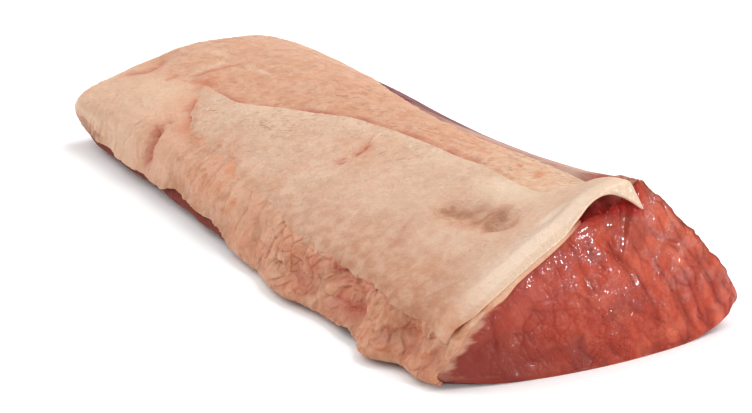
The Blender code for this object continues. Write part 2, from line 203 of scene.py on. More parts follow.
# Seams between the muscle bundles of the front cut: relative depth, then points as (y, z) in metres
SEAMS = [
    (0.9, [(0.009, 0.05), (0.011, 0.043), (0.014, 0.038), (0.018, 0.032), (0.021, 0.027)]),
    (1.0, [(0.003, 0.052), (0.008, 0.048), (0.0125, 0.042), (0.017, 0.037), (0.021, 0.032),
        (0.024, 0.026), (0.027, 0.021), (0.029, 0.015), (0.031, 0.009)]),
    (1.0, [(0.026, 0.044), (0.029, 0.04), (0.031, 0.035), (0.033, 0.031), (0.036, 0.026),
        (0.039, 0.021), (0.043, 0.015), (0.046, 0.009), (0.05, 0.003)]),
    (0.7, [(0.031, 0.049), (0.034, 0.046), (0.04, 0.043), (0.044, 0.041)]),
    (1.15, [(0.04, 0.036), (0.044, 0.03), (0.047, 0.025), (0.049, 0.019), (0.052, 0.012),
        (0.056, 0.006)]),
    (1.2, [(0.045, 0.042), (0.049, 0.037), (0.054, 0.031), (0.058, 0.025), (0.061, 0.018),
        (0.063, 0.013), (0.068, 0.008)]),
    (0.8, [(0.037, 0.027), (0.039, 0.02), (0.041, 0.015), (0.044, 0.01)]),
    (0.9, [(-0.0115, 0.054), (-0.009, 0.049), (-0.006, 0.042), (-0.0045, 0.038),
        (-0.001, 0.032), (0.003, 0.028)]),
    (0.8, [(-0.002, 0.052), (0.001, 0.045), (0.004, 0.04), (0.008, 0.036)]),
    (0.7, [(-0.013, 0.025), (-0.0125, 0.029), (-0.009, 0.031), (-0.004, 0.027),
        (-0.001, 0.022)]),
    (0.9, [(-0.007, 0.015), (-0.01, 0.011), (-0.007, 0.006), (-0.002, 0.002)]),
    (1.0, [(0.003, 0.01), (0.006, 0.006), (0.008, 0.003)]),
    (0.7, [(-0.034, 0.007), (-0.026, 0.009), (-0.02, 0.01), (-0.016, 0.006)]),
    (0.7, [(-0.046, 0.03), (-0.046, 0.022), (-0.0455, 0.016), (-0.045, 0.009)]),
    (0.6, [(-0.055, 0.013), (-0.048, 0.0165), (-0.04, 0.019), (-0.033, 0.018),
        (-0.026, 0.014)]),
    (0.6, [(-0.03, 0.028), (-0.027, 0.026), (-0.02, 0.0255), (-0.01, 0.025)]),
    (0.8, [(0.012, 0.021), (0.018, 0.02), (0.024, 0.017), (0.029, 0.013), (0.036, 0.011)]),
    (0.6, [(0.004, 0.02), (0.009, 0.017), (0.013, 0.012), (0.016, 0.006)]),
]


def spline(before, start, end, after, share):
    """A Catmull-Rom curve between start and end."""
    return 0.5 * (
        2 * start
        + (end - before) * share
        + (2 * before - 5 * start + 4 * end - after) * share**2
        + (3 * start - before - 3 * end + after) * share**3
    )


def around(points, v):
    """The closed curve through the points, at v points from the first."""
    points = np.asarray(points, float)
    step = np.floor(v).astype(int)
    share = (v - step)[..., None]
    near = [points[(step + k) % len(points)] for k in (-1, 0, 1, 2)]
    return spline(*near, share)


def along(values, u):
    """The curve through values at equal steps from u = 0 to u = 1."""
    values = np.asarray(values, float)
    last = len(values) - 1
    place = clipped(u) * last
    step = np.minimum(np.floor(place).astype(int), last - 1)
    near = [values[np.clip(step + k, 0, last)] for k in (-1, 0, 1, 2)]
    return spline(*near, place - step)


def through(knots, u):
    """The curve through (u, value) knots, eased so that it doesn't overshoot."""
    places, values = np.asarray(knots, float).T
    slopes = np.gradient(values, places)
    turns = np.r_[True, np.diff(values)[:-1] * np.diff(values)[1:] <= 0, True]
    slopes[turns] = 0
    u = np.clip(u, places[0], places[-1])
    step = np.clip(np.searchsorted(places, u, side="right") - 1, 0, len(places) - 2)
    width = places[step + 1] - places[step]
    share = (u - places[step]) / width
    rise = values[step + 1] - values[step]
    start = slopes[step] * width
    end = slopes[step + 1] * width
    curve = (start + end - 2 * rise) * share**3 + (3 * rise - 2 * start - end) * share**2
    return values[step] + start * share + curve


def clipped(x):
    return np.clip(x, 0, 1)


def ease(low, high, x):
    """From 0 at low to 1 at high, with no corner."""
    share = clipped((x - low) / (high - low))
    return share * share * (3 - 2 * share)


def fall(low, high, x):
    """From 1 at low to 0 at high, with no corner."""
    return 1 - ease(low, high, x)


def mound(x, middle, reach):
    """A smooth hill of height 1."""
    return np.exp(-(((x - middle) / reach) ** 2))


def most(*parts):
    """The largest of the parts at each place."""
    return np.maximum.reduce(np.broadcast_arrays(*parts))


def bulge(y, z):
    """How far a cut stands out from the fat's edge, from 0 at the crest to 1 at the foot."""
    across = clipped(1 - ((y - BULGE_MIDDLE) / BULGE_HALF_WIDTH) ** 2)
    return across * clipped(1 - np.clip(z, 0, None) / BULGE_HEIGHT) ** 0.8


def skin(u, v):
    """The smooth outer surface, as points."""
    front = along(FRONT_SHARES, u)[..., None]
    shape = around(BACK_SECTION, v) * (1 - front) + around(FRONT_SECTION, v) * front
    near = along(NEAR_WIDTHS, u)
    for place, reach, depth in NEAR_BELLIES:
        near = near + depth * mound(u, place, reach)
    y = shape[..., 0] * np.where(shape[..., 0] < 0, near, along(FAR_WIDTHS, u))
    z = np.maximum(shape[..., 1] * along(CREST_HEIGHTS, u), 0)
    forward = FRONT_BULGE * bulge(y, z) * ease(0.75, 1, u)
    backward = BACK_BULGE * bulge(y, z) * ease(0.12, 0, u)
    x = BACK_X + LENGTH * clipped(u) + forward - backward
    return np.stack([x, y, z], -1)


def outward(u, v):
    """Unit directions away from a flat spine in the loin. Every layer is measured along them."""
    place = skin(u, v)
    across = place[..., 1] - np.clip(place[..., 1], -SPINE_REACH, SPINE_REACH)
    up = place[..., 2] - SPINE_HEIGHT * along(CREST_HEIGHTS, u)
    away = np.stack([np.zeros_like(up), across, up], -1)
    return away / np.linalg.norm(away, axis=-1, keepdims=True)


def underside(v):
    """1 on the flat underside and 0 on the skin that shows."""
    v = v % POINTS
    return ease(*UNDERSIDE_START, v) * fall(*UNDERSIDE_END, v)


def lumps(u, v):
    """The height of the skin's lumps and dents."""
    height = np.zeros(np.broadcast(u, v).shape)
    for at_u, at_v, reach_u, reach_v, amount in RELIEF:
        height = height + amount * mound(u, at_u, reach_u) * mound(v, at_v, reach_v)
    return height * (1 - underside(v))


def flap(u, v):
    """How much of the flap's lift a place has."""
    return ease(FLAP_START, 1, u) * mound(v, FLAP_MIDDLE, FLAP_REACH)


def sunk_top(u):
    """How far the fat beside the sheet has sunk to the sheet's underside, where the flap starts."""
    return ease(SINK_START, SINK_END, u)


def hollow(u, v):
    """The room under the flap, beyond what the sheet's own thickness takes."""
    play = LIP_PLAY + FLAP_PLAY * ease(3.9, 4.3, v)
    deep = ease(FLAP_START, 1, u) * mound(v, HOLLOW_MIDDLE, HOLLOW_REACH)
    return FLAP_HOLLOW * deep + play * sunk_top(u)


def strip(u, v):
    """Where the inner fat shows as a pink strip between the sheet's lip and the front cut."""
    return ease(0.975, 1, u) * ease(1.2, 1.8, v) * fall(3.6, 4.0, v)


def inner_thickness(u, v):
    """The inner fat's thickness, most on the near side and thin at both edges."""
    low = through(FAT_LOW, u)
    high = through(FAT_HIGH, u)
    full = INNER_TOP + (INNER_SIDE - INNER_TOP) * fall(1.1, 3.1, v)
    full = full + STRIP_THICKER * strip(u, v)
    rising = INNER_EDGE + (full - INNER_EDGE) * ease(low, low + 0.9, v)
    return SILVERSKIN_EDGE + (rising - SILVERSKIN_EDGE) * fall(high - 0.8, high, v)


def buried(u, v):
    """The depth of the lean's surface under the fat."""
    low = through(SHEET_LOW, u)
    high = through(SHEET_HIGH, u)
    beside = ease(high, high + 0.5, v) * (1 - sunk_top(u))
    sheet = (SHEET_BELOW + GAP) * ease(0.15, 0.2, u) * ease(low - 0.5, low, v) * (1 - beside)
    return sheet + hollow(u, v) + inner_thickness(u, v) + GAP


def bare(u, v):
    """The depth of the lean's surface where no inner fat covers it."""
    near_foot = LEAN_RECESS * ease(11.2, 12, v)
    high = through(SHEET_HIGH, u)
    room = (SHEET_BELOW + 2 * GAP) * sunk_top(u) + hollow(u, v)
    under_sheet = room * fall(high + 0.05, high + 0.4, v)
    return GAP * (1 - underside(v)) + near_foot + under_sheet


def rolled(u, v):
    """How deep the skin rolls over at the back end: most at the near foot, least above it."""
    place = v % POINTS
    foot = 1 - ease(0.1, 1.5, place) + ease(10.4, 11.4, place)
    top = ease(2.0, 3.2, place) * fall(10.4, 11.4, place)
    share = clipped(1 - u * LENGTH / (ROLLED_END * (1 + 0.8 * foot)))
    side = ease(-1.0, -0.2, v) * fall(8.0, 9.2, v) + ease(11.0, 11.8, v)
    depth = ROLLED_DEPTH * (0.35 + 1.75 * foot + 0.65 * top)
    return depth * (1 - np.sqrt(1 - 0.96 * share**2)) * clipped(side)


def at_depth(u, v, depth):
    """Points that far below the skin with its lumps, moved to the loin's place on the floor."""
    place = skin(u, v) + outward(u, v) * (lumps(u, v) - depth - rolled(u, v))[..., None]
    place[..., 1] += CENTRE_Y
    return place


# ---------------------------------------------------------------- patterns on the surface
GIRTH_SAMPLES = 900
GIRTH_PLACE = 0.55
GIRTH_V = np.linspace(-1, POINTS + 2, GIRTH_SAMPLES)
GIRTH_LINE = skin(np.full(GIRTH_SAMPLES, GIRTH_PLACE), GIRTH_V)
GIRTH_STEPS = np.linalg.norm(np.diff(GIRTH_LINE, axis=0), axis=1)
GIRTH = np.concatenate([[0], np.cumsum(GIRTH_STEPS)])
GIRTH = GIRTH - np.interp(0, GIRTH_V, GIRTH)


def metres(u, v):
    """How far a place is from the back cut, and around the loin from the near foot."""
    return np.broadcast_to(u * LENGTH, np.broadcast(u, v).shape), np.interp(v, GIRTH_V, GIRTH)


# Odd factors that scramble a cell's two numbers and its seed
ACROSS_FACTOR, UP_FACTOR, SEED_FACTOR, LAST_FACTOR = 374761393, 668265263, 144665, 1274126177
ALL_BITS, LOW_BITS = 0xFFFFFFFF, 0xFFFF


def chance(i, j, seed):
    """A repeatable random number from 0 to 1 for each cell of a grid."""
    mixed = i.astype(np.int64) * ACROSS_FACTOR + j.astype(np.int64) * UP_FACTOR + seed * SEED_FACTOR
    mixed &= ALL_BITS
    mixed = ((mixed ^ (mixed >> 13)) * LAST_FACTOR) & ALL_BITS
    return ((mixed ^ (mixed >> 16)) & LOW_BITS) / LOW_BITS


def waves(p, q, seed):
    """A smooth random height from -1 to 1, with hills about one unit apart."""
    i, j = np.floor(p), np.floor(q)
    x, y = p - i, q - j
    x = x * x * x * (x * (x * 6 - 15) + 10)
    y = y * y * y * (y * (y * 6 - 15) + 10)
    low = chance(i, j, seed) * (1 - x) + chance(i + 1, j, seed) * x
    high = chance(i, j + 1, seed) * (1 - x) + chance(i + 1, j + 1, seed) * x
    return 2 * (low * (1 - y) + high * y) - 1


def rough(p, q, seed, octaves=4):
    """Waves with ever smaller ones on top."""
    return sum(waves(p * 2**k, q * 2**k, seed + k) / 2**k for k in range(octaves)) / 1.6


def bundles(p, q, seed):
    """Distances to the nearest and the next of scattered points, about one unit apart."""
    i, j = np.floor(p), np.floor(q)
    nearest = np.full(p.shape, 9.0)
    second = nearest.copy()
    for across in (-1, 0, 1):
        for up in (-1, 0, 1):
            x = i + across + chance(i + across, j + up, seed) - p
            y = j + up + chance(i + across, j + up, seed + 1) - q
            far = np.hypot(x, y)
            second = np.minimum(second, np.maximum(far, nearest))
            nearest = np.minimum(nearest, far)
    return nearest, second


def smooth_line(points, steps=6):
    """The open curve through the points, with steps pieces between each two."""
    points = np.asarray(points, float)
    padded = np.concatenate([2 * points[:1] - points[1:2], points, 2 * points[-1:] - points[-2:-1]])
    shares = np.linspace(0, 1, steps, endpoint=False)[:, None]
    pieces = [spline(*padded[k : k + 4], shares) for k in range(len(points) - 1)]
    return np.concatenate(pieces + [points[-1:]])


def by_line(p, q, line):
    """How far each place is from a line of points, its share of the line, and its side, 1 or -1."""
    nearest = np.full(p.shape, 1.0)
    share = np.zeros(p.shape)
    side = np.ones(p.shape)
    for number, (start, end) in enumerate(zip(line, line[1:])):
        step = end - start
        part = clipped(((p - start[0]) * step[0] + (q - start[1]) * step[1]) / (step @ step))
        far = np.hypot(p - start[0] - step[0] * part, q - start[1] - step[1] * part)
        closer = far < nearest
        nearest = np.where(closer, far, nearest)
        share = np.where(closer, (number + part) / (len(line) - 1), share)
        side = np.where(closer, np.sign(step[0] * (q - start[1]) - step[1] * (p - start[0])), side)
    return nearest, share, side


# How soon a line that fades at its two ends is at its full strength
TAPER = 1.7


def crease_shape(far, share, width, seed):
    """A crease's fine cut and the soft valley round it, each from 0 to 1 and fading at its ends."""
    taper = clipped(np.sin(np.pi * np.clip(share, 0.01, 0.99)) * TAPER)
    broken = 0.7 + 0.3 * waves(share * 6, np.full(share.shape, 0.37), seed)
    return mound(far, 0, width) * taper * broken, mound(far, 0, 4 * width) * taper


def surface_line(points):
    """A smooth line through (u, v) points, in metres."""
    return smooth_line([metres(np.array(a), np.array(b)) for a, b in points])


def creased(u, v, creases):
    """The height and the redness that a list of creases gives each place."""
    s, t = metres(u, v)
    across = s + 0.0007 * rough(s / 0.006, t / 0.006, 131, 3)
    around_loin = t + 0.0007 * rough(s / 0.006, t / 0.006, 135, 3)
    height = np.zeros(s.shape)
    red = np.zeros(s.shape)
    for number, (depth, width, redness, points) in enumerate(creases):
        far, share = by_line(across, around_loin, surface_line(points))[:2]
        fine, valley = crease_shape(far, share, width, number)
        height -= depth * (0.6 * fine + 0.4 * valley)
        red = np.maximum(red, redness * np.maximum(fine, 0.45 * valley))
    return height, clipped(1.5 * red)


def patches(p, q, spots):
    """Soft spots, each given as its two places, its two reaches and its strength."""
    strength = np.zeros(p.shape)
    for at_p, at_q, reach_p, reach_q, share in spots:
        strength = np.maximum(strength, share * mound(p, at_p, reach_p) * mound(q, at_q, reach_q))
    return strength


# ---------------------------------------------------------------- meshes
def split_squares(number):
    """Two triangles for each square of a grid of point numbers."""
    a, b, c, d = number[:-1, :-1], number[1:, :-1], number[1:, 1:], number[:-1, 1:]
    return np.concatenate([np.stack(half, -1).reshape(-1, 3) for half in ((a, b, c), (a, c, d))])


def grid_faces(rows, count, first=0):
    """The triangles of a grid of points."""
    return split_squares(first + np.arange(rows * count).reshape(rows, count))


def ring_faces(rings, count, first=0):
    """The triangles between closed rings of count points."""
    number = first + np.arange(rings * count).reshape(rings, count)
    return split_squares(np.concatenate([number, number[:, :1]], 1))


def stitch(fine, coarse):
    """Triangles between a closed loop of points and one that has fewer, a whole number of times."""
    ratio = len(fine) // len(coarse)
    faces = []
    for step, here in enumerate(coarse):
        after = coarse[(step + 1) % len(coarse)]
        spots = [fine[(step * ratio + k) % len(fine)] for k in range(ratio + 1)]
        half = ratio // 2
        faces += [(here, spots[k], spots[k + 1]) for k in range(half)]
        faces += [(here, spots[half], after)]
        faces += [(after, spots[k], spots[k + 1]) for k in range(half, ratio)]
    return np.array(faces)


def border(rows, count):
    """The places on the rim of a grid, as (row, column), once around."""
    loop = [(0, k) for k in range(count)]
    loop += [(k, count - 1) for k in range(1, rows)]
    loop += [(rows - 1, k) for k in range(count - 2, -1, -1)]
    loop += [(k, 0) for k in range(rows - 2, 0, -1)]
    return np.array(loop).T


def rim_directions(grid):
    """The way out of a grid of points, across its rim, for each place of the border loop."""
    out = np.zeros_like(grid)
    out[0] += grid[0] - grid[1]
    out[-1] += grid[-1] - grid[-2]
    out[:, 0] += grid[:, 0] - grid[:, 1]
    out[:, -1] += grid[:, -1] - grid[:, -2]
    out = out[tuple(border(*grid.shape[:2]))]
    return out / np.maximum(np.linalg.norm(out, axis=1, keepdims=True), 1e-9)


def slab(top, bottom, ratio, roundness, wall_rings=5):
    """A closed slab with a rounded rim. Its bottom uses every ratio-th point of its grid."""
    rows, count = top.shape[:2]
    loop = tuple(border(rows, count))
    upper, lower = top[loop], bottom[loop]
    middle = (upper + lower) / 2
    half = (upper - lower) / 2
    out = rim_directions(top) * np.linalg.norm(half, axis=1, keepdims=True) * roundness
    rings = []
    for ring in range(1, wall_rings + 1):
        angle = math.pi * ring / (wall_rings + 0.5)
        rings.append(middle + half * math.cos(angle) + out * math.sin(angle))
    coarse = bottom[::ratio, ::ratio]
    coarse_rows, coarse_count = coarse.shape[:2]
    points = np.concatenate([top.reshape(-1, 3), *rings, coarse.reshape(-1, 3)])
    number = np.arange(rows * count).reshape(rows, count)
    first_wall = rows * count
    first_below = first_wall + len(upper) * wall_rings
    wall_end = first_wall + len(upper) * (wall_rings - 1) + np.arange(len(upper))
    coarse_number = first_below + np.arange(coarse_rows * coarse_count)
    coarse_loop = coarse_number.reshape(coarse_rows, coarse_count)
    wall_start = ring_faces(2, len(upper))
    joined = np.concatenate([number[loop], first_wall + np.arange(len(upper))])[wall_start]
    faces = [
        grid_faces(rows, count)[:, ::-1],
        joined,
        ring_faces(wall_rings, len(upper), first_wall),
        stitch(wall_end, coarse_loop[tuple(border(coarse_rows, coarse_count))]),
        grid_faces(coarse_rows, coarse_count, first_below),
    ]
    return points, np.concatenate(faces)


def spread(values, ratio, walls):
    """Values on a slab's top grid carried on to its wall rings and its coarse bottom."""
    loop = tuple(border(*values.shape[:2]))
    tail = values.shape[2:]
    below = values[::ratio, ::ratio].reshape(-1, *tail)
    return np.concatenate([values.reshape(-1, *tail), *([values[loop]] * walls), below])


def linked(name, data):
    """An object of that name, in the scene."""
    made = bpy.data.objects.new(name, data)
    bpy.context.scene.collection.objects.link(made)
    return made


def mesh_piece(name, points, faces, material, layers, surface):
    """A smooth closed mesh object with its float layers and its map in metres."""
    mesh = bpy.data.meshes.new(name)
    mesh.vertices.add(len(points))
    mesh.vertices.foreach_set("co", points.astype(np.float32).ravel())
    mesh.loops.add(3 * len(faces))
    mesh.loops.foreach_set("vertex_index", faces.astype(np.int32).ravel())
    mesh.polygons.add(len(faces))
    mesh.polygons.foreach_set("loop_start", np.arange(len(faces), dtype=np.int32) * 3)
    mesh.update(calc_edges=True)
    given = [(layer, "FLOAT", "value", values) for layer, values in layers.items()]
    given.append(("surface_metres", "FLOAT_VECTOR", "vector", surface))
    for layer, kind, field, values in given:
        attribute = mesh.attributes.new(layer, kind, "POINT")
        attribute.data.foreach_set(field, values.astype(np.float32).ravel())
    shaped = bmesh.new()
    shaped.from_mesh(mesh)
    bmesh.ops.recalc_face_normals(shaped, faces=shaped.faces)
    shaped.to_mesh(mesh)
    shaped.free()
    mesh.shade_smooth()
    mesh.materials.append(material)
    return linked(name, mesh)


def surface_map(u, v):
    """Metres along the loin and around it, for the fibres of a material to follow."""
    s, t = metres(u, v)
    return np.stack([s, t, np.zeros_like(s)], -1)


# ---------------------------------------------------------------- materials
# Colours of the lean and its silverskin, painted light and painted shade among them
FINE_RED = (0.56, 0.098, 0.052)
LILAC_RED = (0.40, 0.066, 0.048)
# Painted light on the cut's upper right and bundle tops; the same pale red also makes random paler
# patches
PAINTED_LIGHT_AND_PALE_RED = (0.67, 0.160, 0.086)
# Painted shade on the cut's lower left and beside its seams; the same dark red also gives random
# darker patches and the darker sides of the lean
PAINTED_SHADE_AND_DARK_RED = (0.205, 0.030, 0.020)
# Painted shade: the dark red in the hollow under the flap
UNDER_FLAP_SHADE_RED = (0.33, 0.013, 0.008)
SHADED_LEAN = (0.16, 0.026, 0.015)
PALE_RIM = (0.55, 0.30, 0.21)
SILVERSKIN = (0.37, 0.19, 0.150), (0.50, 0.32, 0.255)
PLUM = (0.095, 0.024, 0.026), (0.25, 0.095, 0.095)
MOISTURE = (0.42, 0.065, 0.038), (0.36, 0.040, 0.022)
FIBRE_SIZES = (0.025, 0.0011, 1)

# Colours of the fat: in its veins, warm places, painted shade with a darker tone, wrinkles, folds
# and creases
VEIN = (0.56, 0.20, 0.12)
BLUSH = (0.565, 0.188, 0.076)
# Painted shade in the sheet's dent, in the folds, at the back foot and toward the low edges, also a
# darker tone
PAINTED_SHADE_AND_DARK_FAT = (0.37, 0.17, 0.090)
IN_WRINKLES = (0.45, 0.20, 0.105)
IN_FOLDS = (0.42, 0.120, 0.058)
IN_CREASES = (0.41, 0.085, 0.042)
INNER_TONES = (0.555, 0.260, 0.150), (0.69, 0.49, 0.338)
OUTER_TONES = (0.535, 0.32, 0.205), (0.71, 0.535, 0.39)


def add_node(tree, kind, values=(), links=(), **settings):
    """A new node with its settings, its plain values and its links."""
    made = tree.nodes.new(kind)
    for key, value in settings.items():
        setattr(made, key, value)
    for key, value in dict(values).items():
        made.inputs[key].default_value = value
    for key, socket in dict(links).items():
        tree.links.new(socket, made.inputs[key])
    return made


class Finish:
    """A node material, built one node at a time."""

    def __init__(self, name):
        self.material = bpy.data.materials.new(name)
        self.material.use_nodes = True
        self.tree = self.material.node_tree
        self.shader = self.tree.nodes["Principled BSDF"]

    def node(self, kind, values=(), links=(), **settings):
        return add_node(self.tree, kind, values, links, **settings)

    def layer(self, name):
        """A float layer of the mesh."""
        return self.node("ShaderNodeAttribute", attribute_name=name).outputs["Fac"]

    def object_place(self):
        return self.node("ShaderNodeTexCoord").outputs["Object"]

    def stretched(self, sizes, turn=0.0):
        """The place on the piece's surface, turned, then measured in the given sizes, in metres."""
        surface = self.node("ShaderNodeAttribute", attribute_name="surface_metres")
        return self.node(
            "ShaderNodeMapping", {"Scale": sizes, "Rotation": (0, 0, -turn)},
            {"Vector": surface.outputs["Vector"]}, vector_type="TEXTURE",
        ).outputs["Vector"]

    def wandering(self, vector, scale, reach):
        """The place, moved at random by up to about half the reach each way."""
        noise = self.node("ShaderNodeTexNoise", {"Scale": scale, "Detail": 3.0}, {"Vector": vector})
        step = self.node(
            "ShaderNodeVectorMath", {"Scale": reach}, {0: noise.outputs["Color"]}, operation="SCALE"
        ).outputs["Vector"]
        moved = self.node("ShaderNodeVectorMath", {}, {0: vector, 1: step}, operation="ADD")
        return moved.outputs["Vector"]

    def noise(self, vector, scale=1.0, detail=3.0, roughness=0.55, distortion=0.0):
        return self.node(
            "ShaderNodeTexNoise",
            {"Scale": scale, "Detail": detail, "Roughness": roughness, "Distortion": distortion},
            {"Vector": vector},
        ).outputs["Fac"]

    def cracks(self, vector, scale, width):
        """1 on the thin borders between scattered cells and 0 inside them."""
        cells = self.node(
            "ShaderNodeTexVoronoi", {"Scale": scale}, {"Vector": vector}, feature="DISTANCE_TO_EDGE"
        )
        return self.remap(cells.outputs["Distance"], 0.0, width, 1.0, 0.0)

    def remap(self, value, low, high, new_low=0.0, new_high=1.0):
        return self.node(
            "ShaderNodeMapRange",
            {"From Min": low, "From Max": high, "To Min": new_low, "To Max": new_high},
            {"Value": value}, clamp=True,
        ).outputs["Result"]

    def sum(self, first, second, kind="ADD"):
        made = self.node("ShaderNodeMath", operation=kind)
        for place, value in enumerate((first, second)):
            if isinstance(value, (int, float)):
                made.inputs[place].default_value = value
            else:
                self.tree.links.new(value, made.inputs[place])
        return made.outputs["Value"]

    def times(self, first, second):
        return self.sum(first, second, "MULTIPLY")

    def off_middle(self, value):
        """How far a noise is from 0.5, which is 0 along thin winding lines."""
        return self.sum(self.sum(value, 0.5, "SUBTRACT"), 0, "ABSOLUTE")

    def mix(self, share, first, second):
        made = self.node("ShaderNodeMix", data_type="RGBA", blend_type="MIX")
        for place, value in ((0, share), (6, first), (7, second)):
            if isinstance(value, bpy.types.NodeSocket):
                self.tree.links.new(value, made.inputs[place])
            else:
                made.inputs[place].default_value = (*value, 1)
        return made.outputs[2]

    def tinted(self, colour, tints):
        """The colour with each tint mixed in by its share, one after another."""
        for share, tint in tints:
            colour = self.mix(share, colour, tint)
        return colour

    def bump(self, height, strength, distance, before=None):
        links = {"Height": height} if before is None else {"Height": height, "Normal": before}
        made = self.node("ShaderNodeBump", {"Strength": strength, "Distance": distance}, links)
        return made.outputs["Normal"]

    def sunk(self, depth, strength, distance, before):
        """A bump that goes in instead of out."""
        return self.bump(self.times(depth, -1.0), strength, distance, before)

    def shade(self, links, **uniform):
        """Links what varies to the shader and sets the rest directly on it."""
        for socket, value in links.items():
            self.tree.links.new(value, self.shader.inputs[socket])
        for key, value in uniform.items():
            socket = key.replace("_", " ").title().replace("Ior", "IOR")
            self.shader.inputs[socket].default_value = value
        return self.material


def lean_finish(cut):
    """Moist raw lean: red cuts with darker seams, and lavender silverskin on the far side."""
    finish = Finish("moist_raw_lean")
    here = finish.object_place()
    mix, remap, noise = finish.mix, finish.remap, finish.noise
    layer, times = finish.layer, finish.times
    seam_colour = tuple(cut.seam_colour)
    red = mix(remap(noise(here, 85.0, 4.0), 0.36, 0.64), cut.lean_colour, cut.light_lean_colour)
    red = mix(remap(noise(here, 520.0), 0.45, 0.75, 0.0, 0.35), red, FINE_RED)
    network = finish.cracks(finish.wandering(here, 150.0, 0.006), 290.0, 0.13)
    web = times(times(network, remap(noise(here, 120.0, 2.0), 0.42, 0.6)), layer("web"))
    # The red takes painted light on the cut's upper right and bundle tops, and painted shade to its
    # lower left, beside its seams and under the flap
    red = finish.tinted(red, [
        (layer("lilac"), LILAC_RED), (layer("light"), PAINTED_LIGHT_AND_PALE_RED), (layer("lean_shade_and_dark_tone"), PAINTED_SHADE_AND_DARK_RED),
        (times(web, 0.55), seam_colour), (layer("seam"), seam_colour), (layer("under_flap_shade"), UNDER_FLAP_SHADE_RED),
    ])
    fibres = noise(finish.stretched(FIBRE_SIZES))
    plum = mix(remap(fibres, 0.40, 0.62), *PLUM)
    silver = mix(layer("plum"), mix(remap(fibres, 0.35, 0.65), *SILVERSKIN), plum)
    dry = finish.sum(layer("silver"), layer("foot"), "MAXIMUM")
    dry = finish.sum(dry, layer("pale"), "MAXIMUM")
    grain = finish.bump(noise(here, 800.0), 0.35, 0.0005)
    wet = times(remap(dry, 0.0, 0.6, 1.0, 0.0), remap(layer("moist"), 0.0, 0.7, 0.03, 1.0))
    return finish.shade(
        {
            "Base Color": finish.tinted(red, [
                (layer("silver"), silver), (layer("foot"), SHADED_LEAN), (layer("pale"), PALE_RIM),
            ]),
            "Roughness": finish.sum(
                remap(noise(here, 240.0, 2.0), 0.3, 0.7, 0.32, 0.5), times(dry, 0.25)
            ),
            "Normal": finish.bump(fibres, 0.2, 0.0003, finish.sunk(web, 0.5, 0.0006, grain)),
            "Coat Weight": times(wet, remap(layer("under_flap_shade"), 0.0, 1.0, 1.0, 0.2)),
            "Coat Normal": finish.bump(noise(here, 540.0, 1.0, 0.5, 0.5), 1.0, 0.00042),
        },
        coat_roughness=0.04, coat_ior=1.6, specular_ior_level=0.16, subsurface_weight=0.12,
        subsurface_scale=0.003, subsurface_radius=(1.0, 0.25, 0.15),
    )


def fat_finish(name, main, deep, pale, wrinkle_sizes, wrinkle_turn, roughness):
    """Satin raw fat, with short wrinkles, thin red veins, reddish creases and moist places."""
    finish = Finish(name)
    here = finish.object_place()
    remap, noise, layer, times = finish.remap, finish.noise, finish.layer, finish.times
    mottle = noise(here, 170.0)
    fine = noise(here, 560.0, 2.0)
    wavy = noise(finish.stretched(wrinkle_sizes, wrinkle_turn), 1.0, 2.0, 0.5, 0.25)
    short = times(remap(noise(here, 250.0, 1.0), 0.43, 0.55), layer("wrinkled"))
    wrinkle = times(remap(finish.off_middle(wavy), 0.0, 0.034, 1.0, 0.0), short)
    some = remap(noise(here, 95.0, 2.0), 0.40, 0.58, 0.15, 1.0)
    folds = times(finish.cracks(finish.wandering(here, 120.0, 0.009), 125.0, 0.26), some)
    folds = times(folds, layer("rugged"))
    off_vein = finish.off_middle(noise(here, 75.0, 4.0, 0.6, 0.8))
    vein = times(
        remap(off_vein, 0.0, 0.018, 0.45, 0.0), remap(noise(here, 31.0, 2.0), 0.48, 0.62)
    )
    uneven = remap(mottle, 0.38, 0.62, 0.5, 1.35)
    # Among the tints are painted shade in the dent, folds and low edges, painted highlights on the
    # lip and above the back foot, and painted shade under the flap
    colour = finish.tinted(main, [
        (remap(noise(here, 42.0), 0.36, 0.66, 0.0, 0.6), deep),
        (remap(mottle, 0.5, 0.7, 0.0, 0.32), deep),
        (remap(fine, 0.52, 0.74, 0.0, 0.38), pale),
        (vein, VEIN),
        (layer("cream_and_painted_highlight"), pale),
        (times(layer("blush"), uneven), BLUSH),
        (times(layer("fat_shade_and_dark_tone"), uneven), PAINTED_SHADE_AND_DARK_FAT),
        (times(wrinkle, 0.46), IN_WRINKLES),
        (times(folds, 0.36), IN_FOLDS),
        (layer("reddened"), IN_CREASES),
        (layer("under_flap_shade"), UNDER_FLAP_SHADE_RED),
    ])
    grain = finish.bump(fine, 0.7, 0.0007)
    crinkled = finish.bump(noise(here, 210.0, 3.0, 0.6, 1.2), 0.45, 0.0014, grain)
    folded = finish.sunk(folds, 0.8, 0.0013, crinkled)
    return finish.shade(
        {
            "Base Color": colour,
            "Roughness": remap(fine, 0.3, 0.7, roughness - 0.06, roughness + 0.08),
            "Normal": finish.sunk(wrinkle, 0.7, 0.0006, folded),
            "Coat Weight": times(
                remap(layer("moist"), 0.0, 1.0, 0.06, 0.9),
                remap(layer("under_flap_shade"), 0.0, 1.0, 1.0, 0.1),
            ),
            "Coat Normal": finish.bump(noise(here, 420.0, 1.0), 0.9, 0.0004),
        },
        coat_roughness=0.12, specular_ior_level=0.24, subsurface_weight=0.15,
        subsurface_scale=0.003, subsurface_radius=(1.0, 0.4, 0.25),
    )


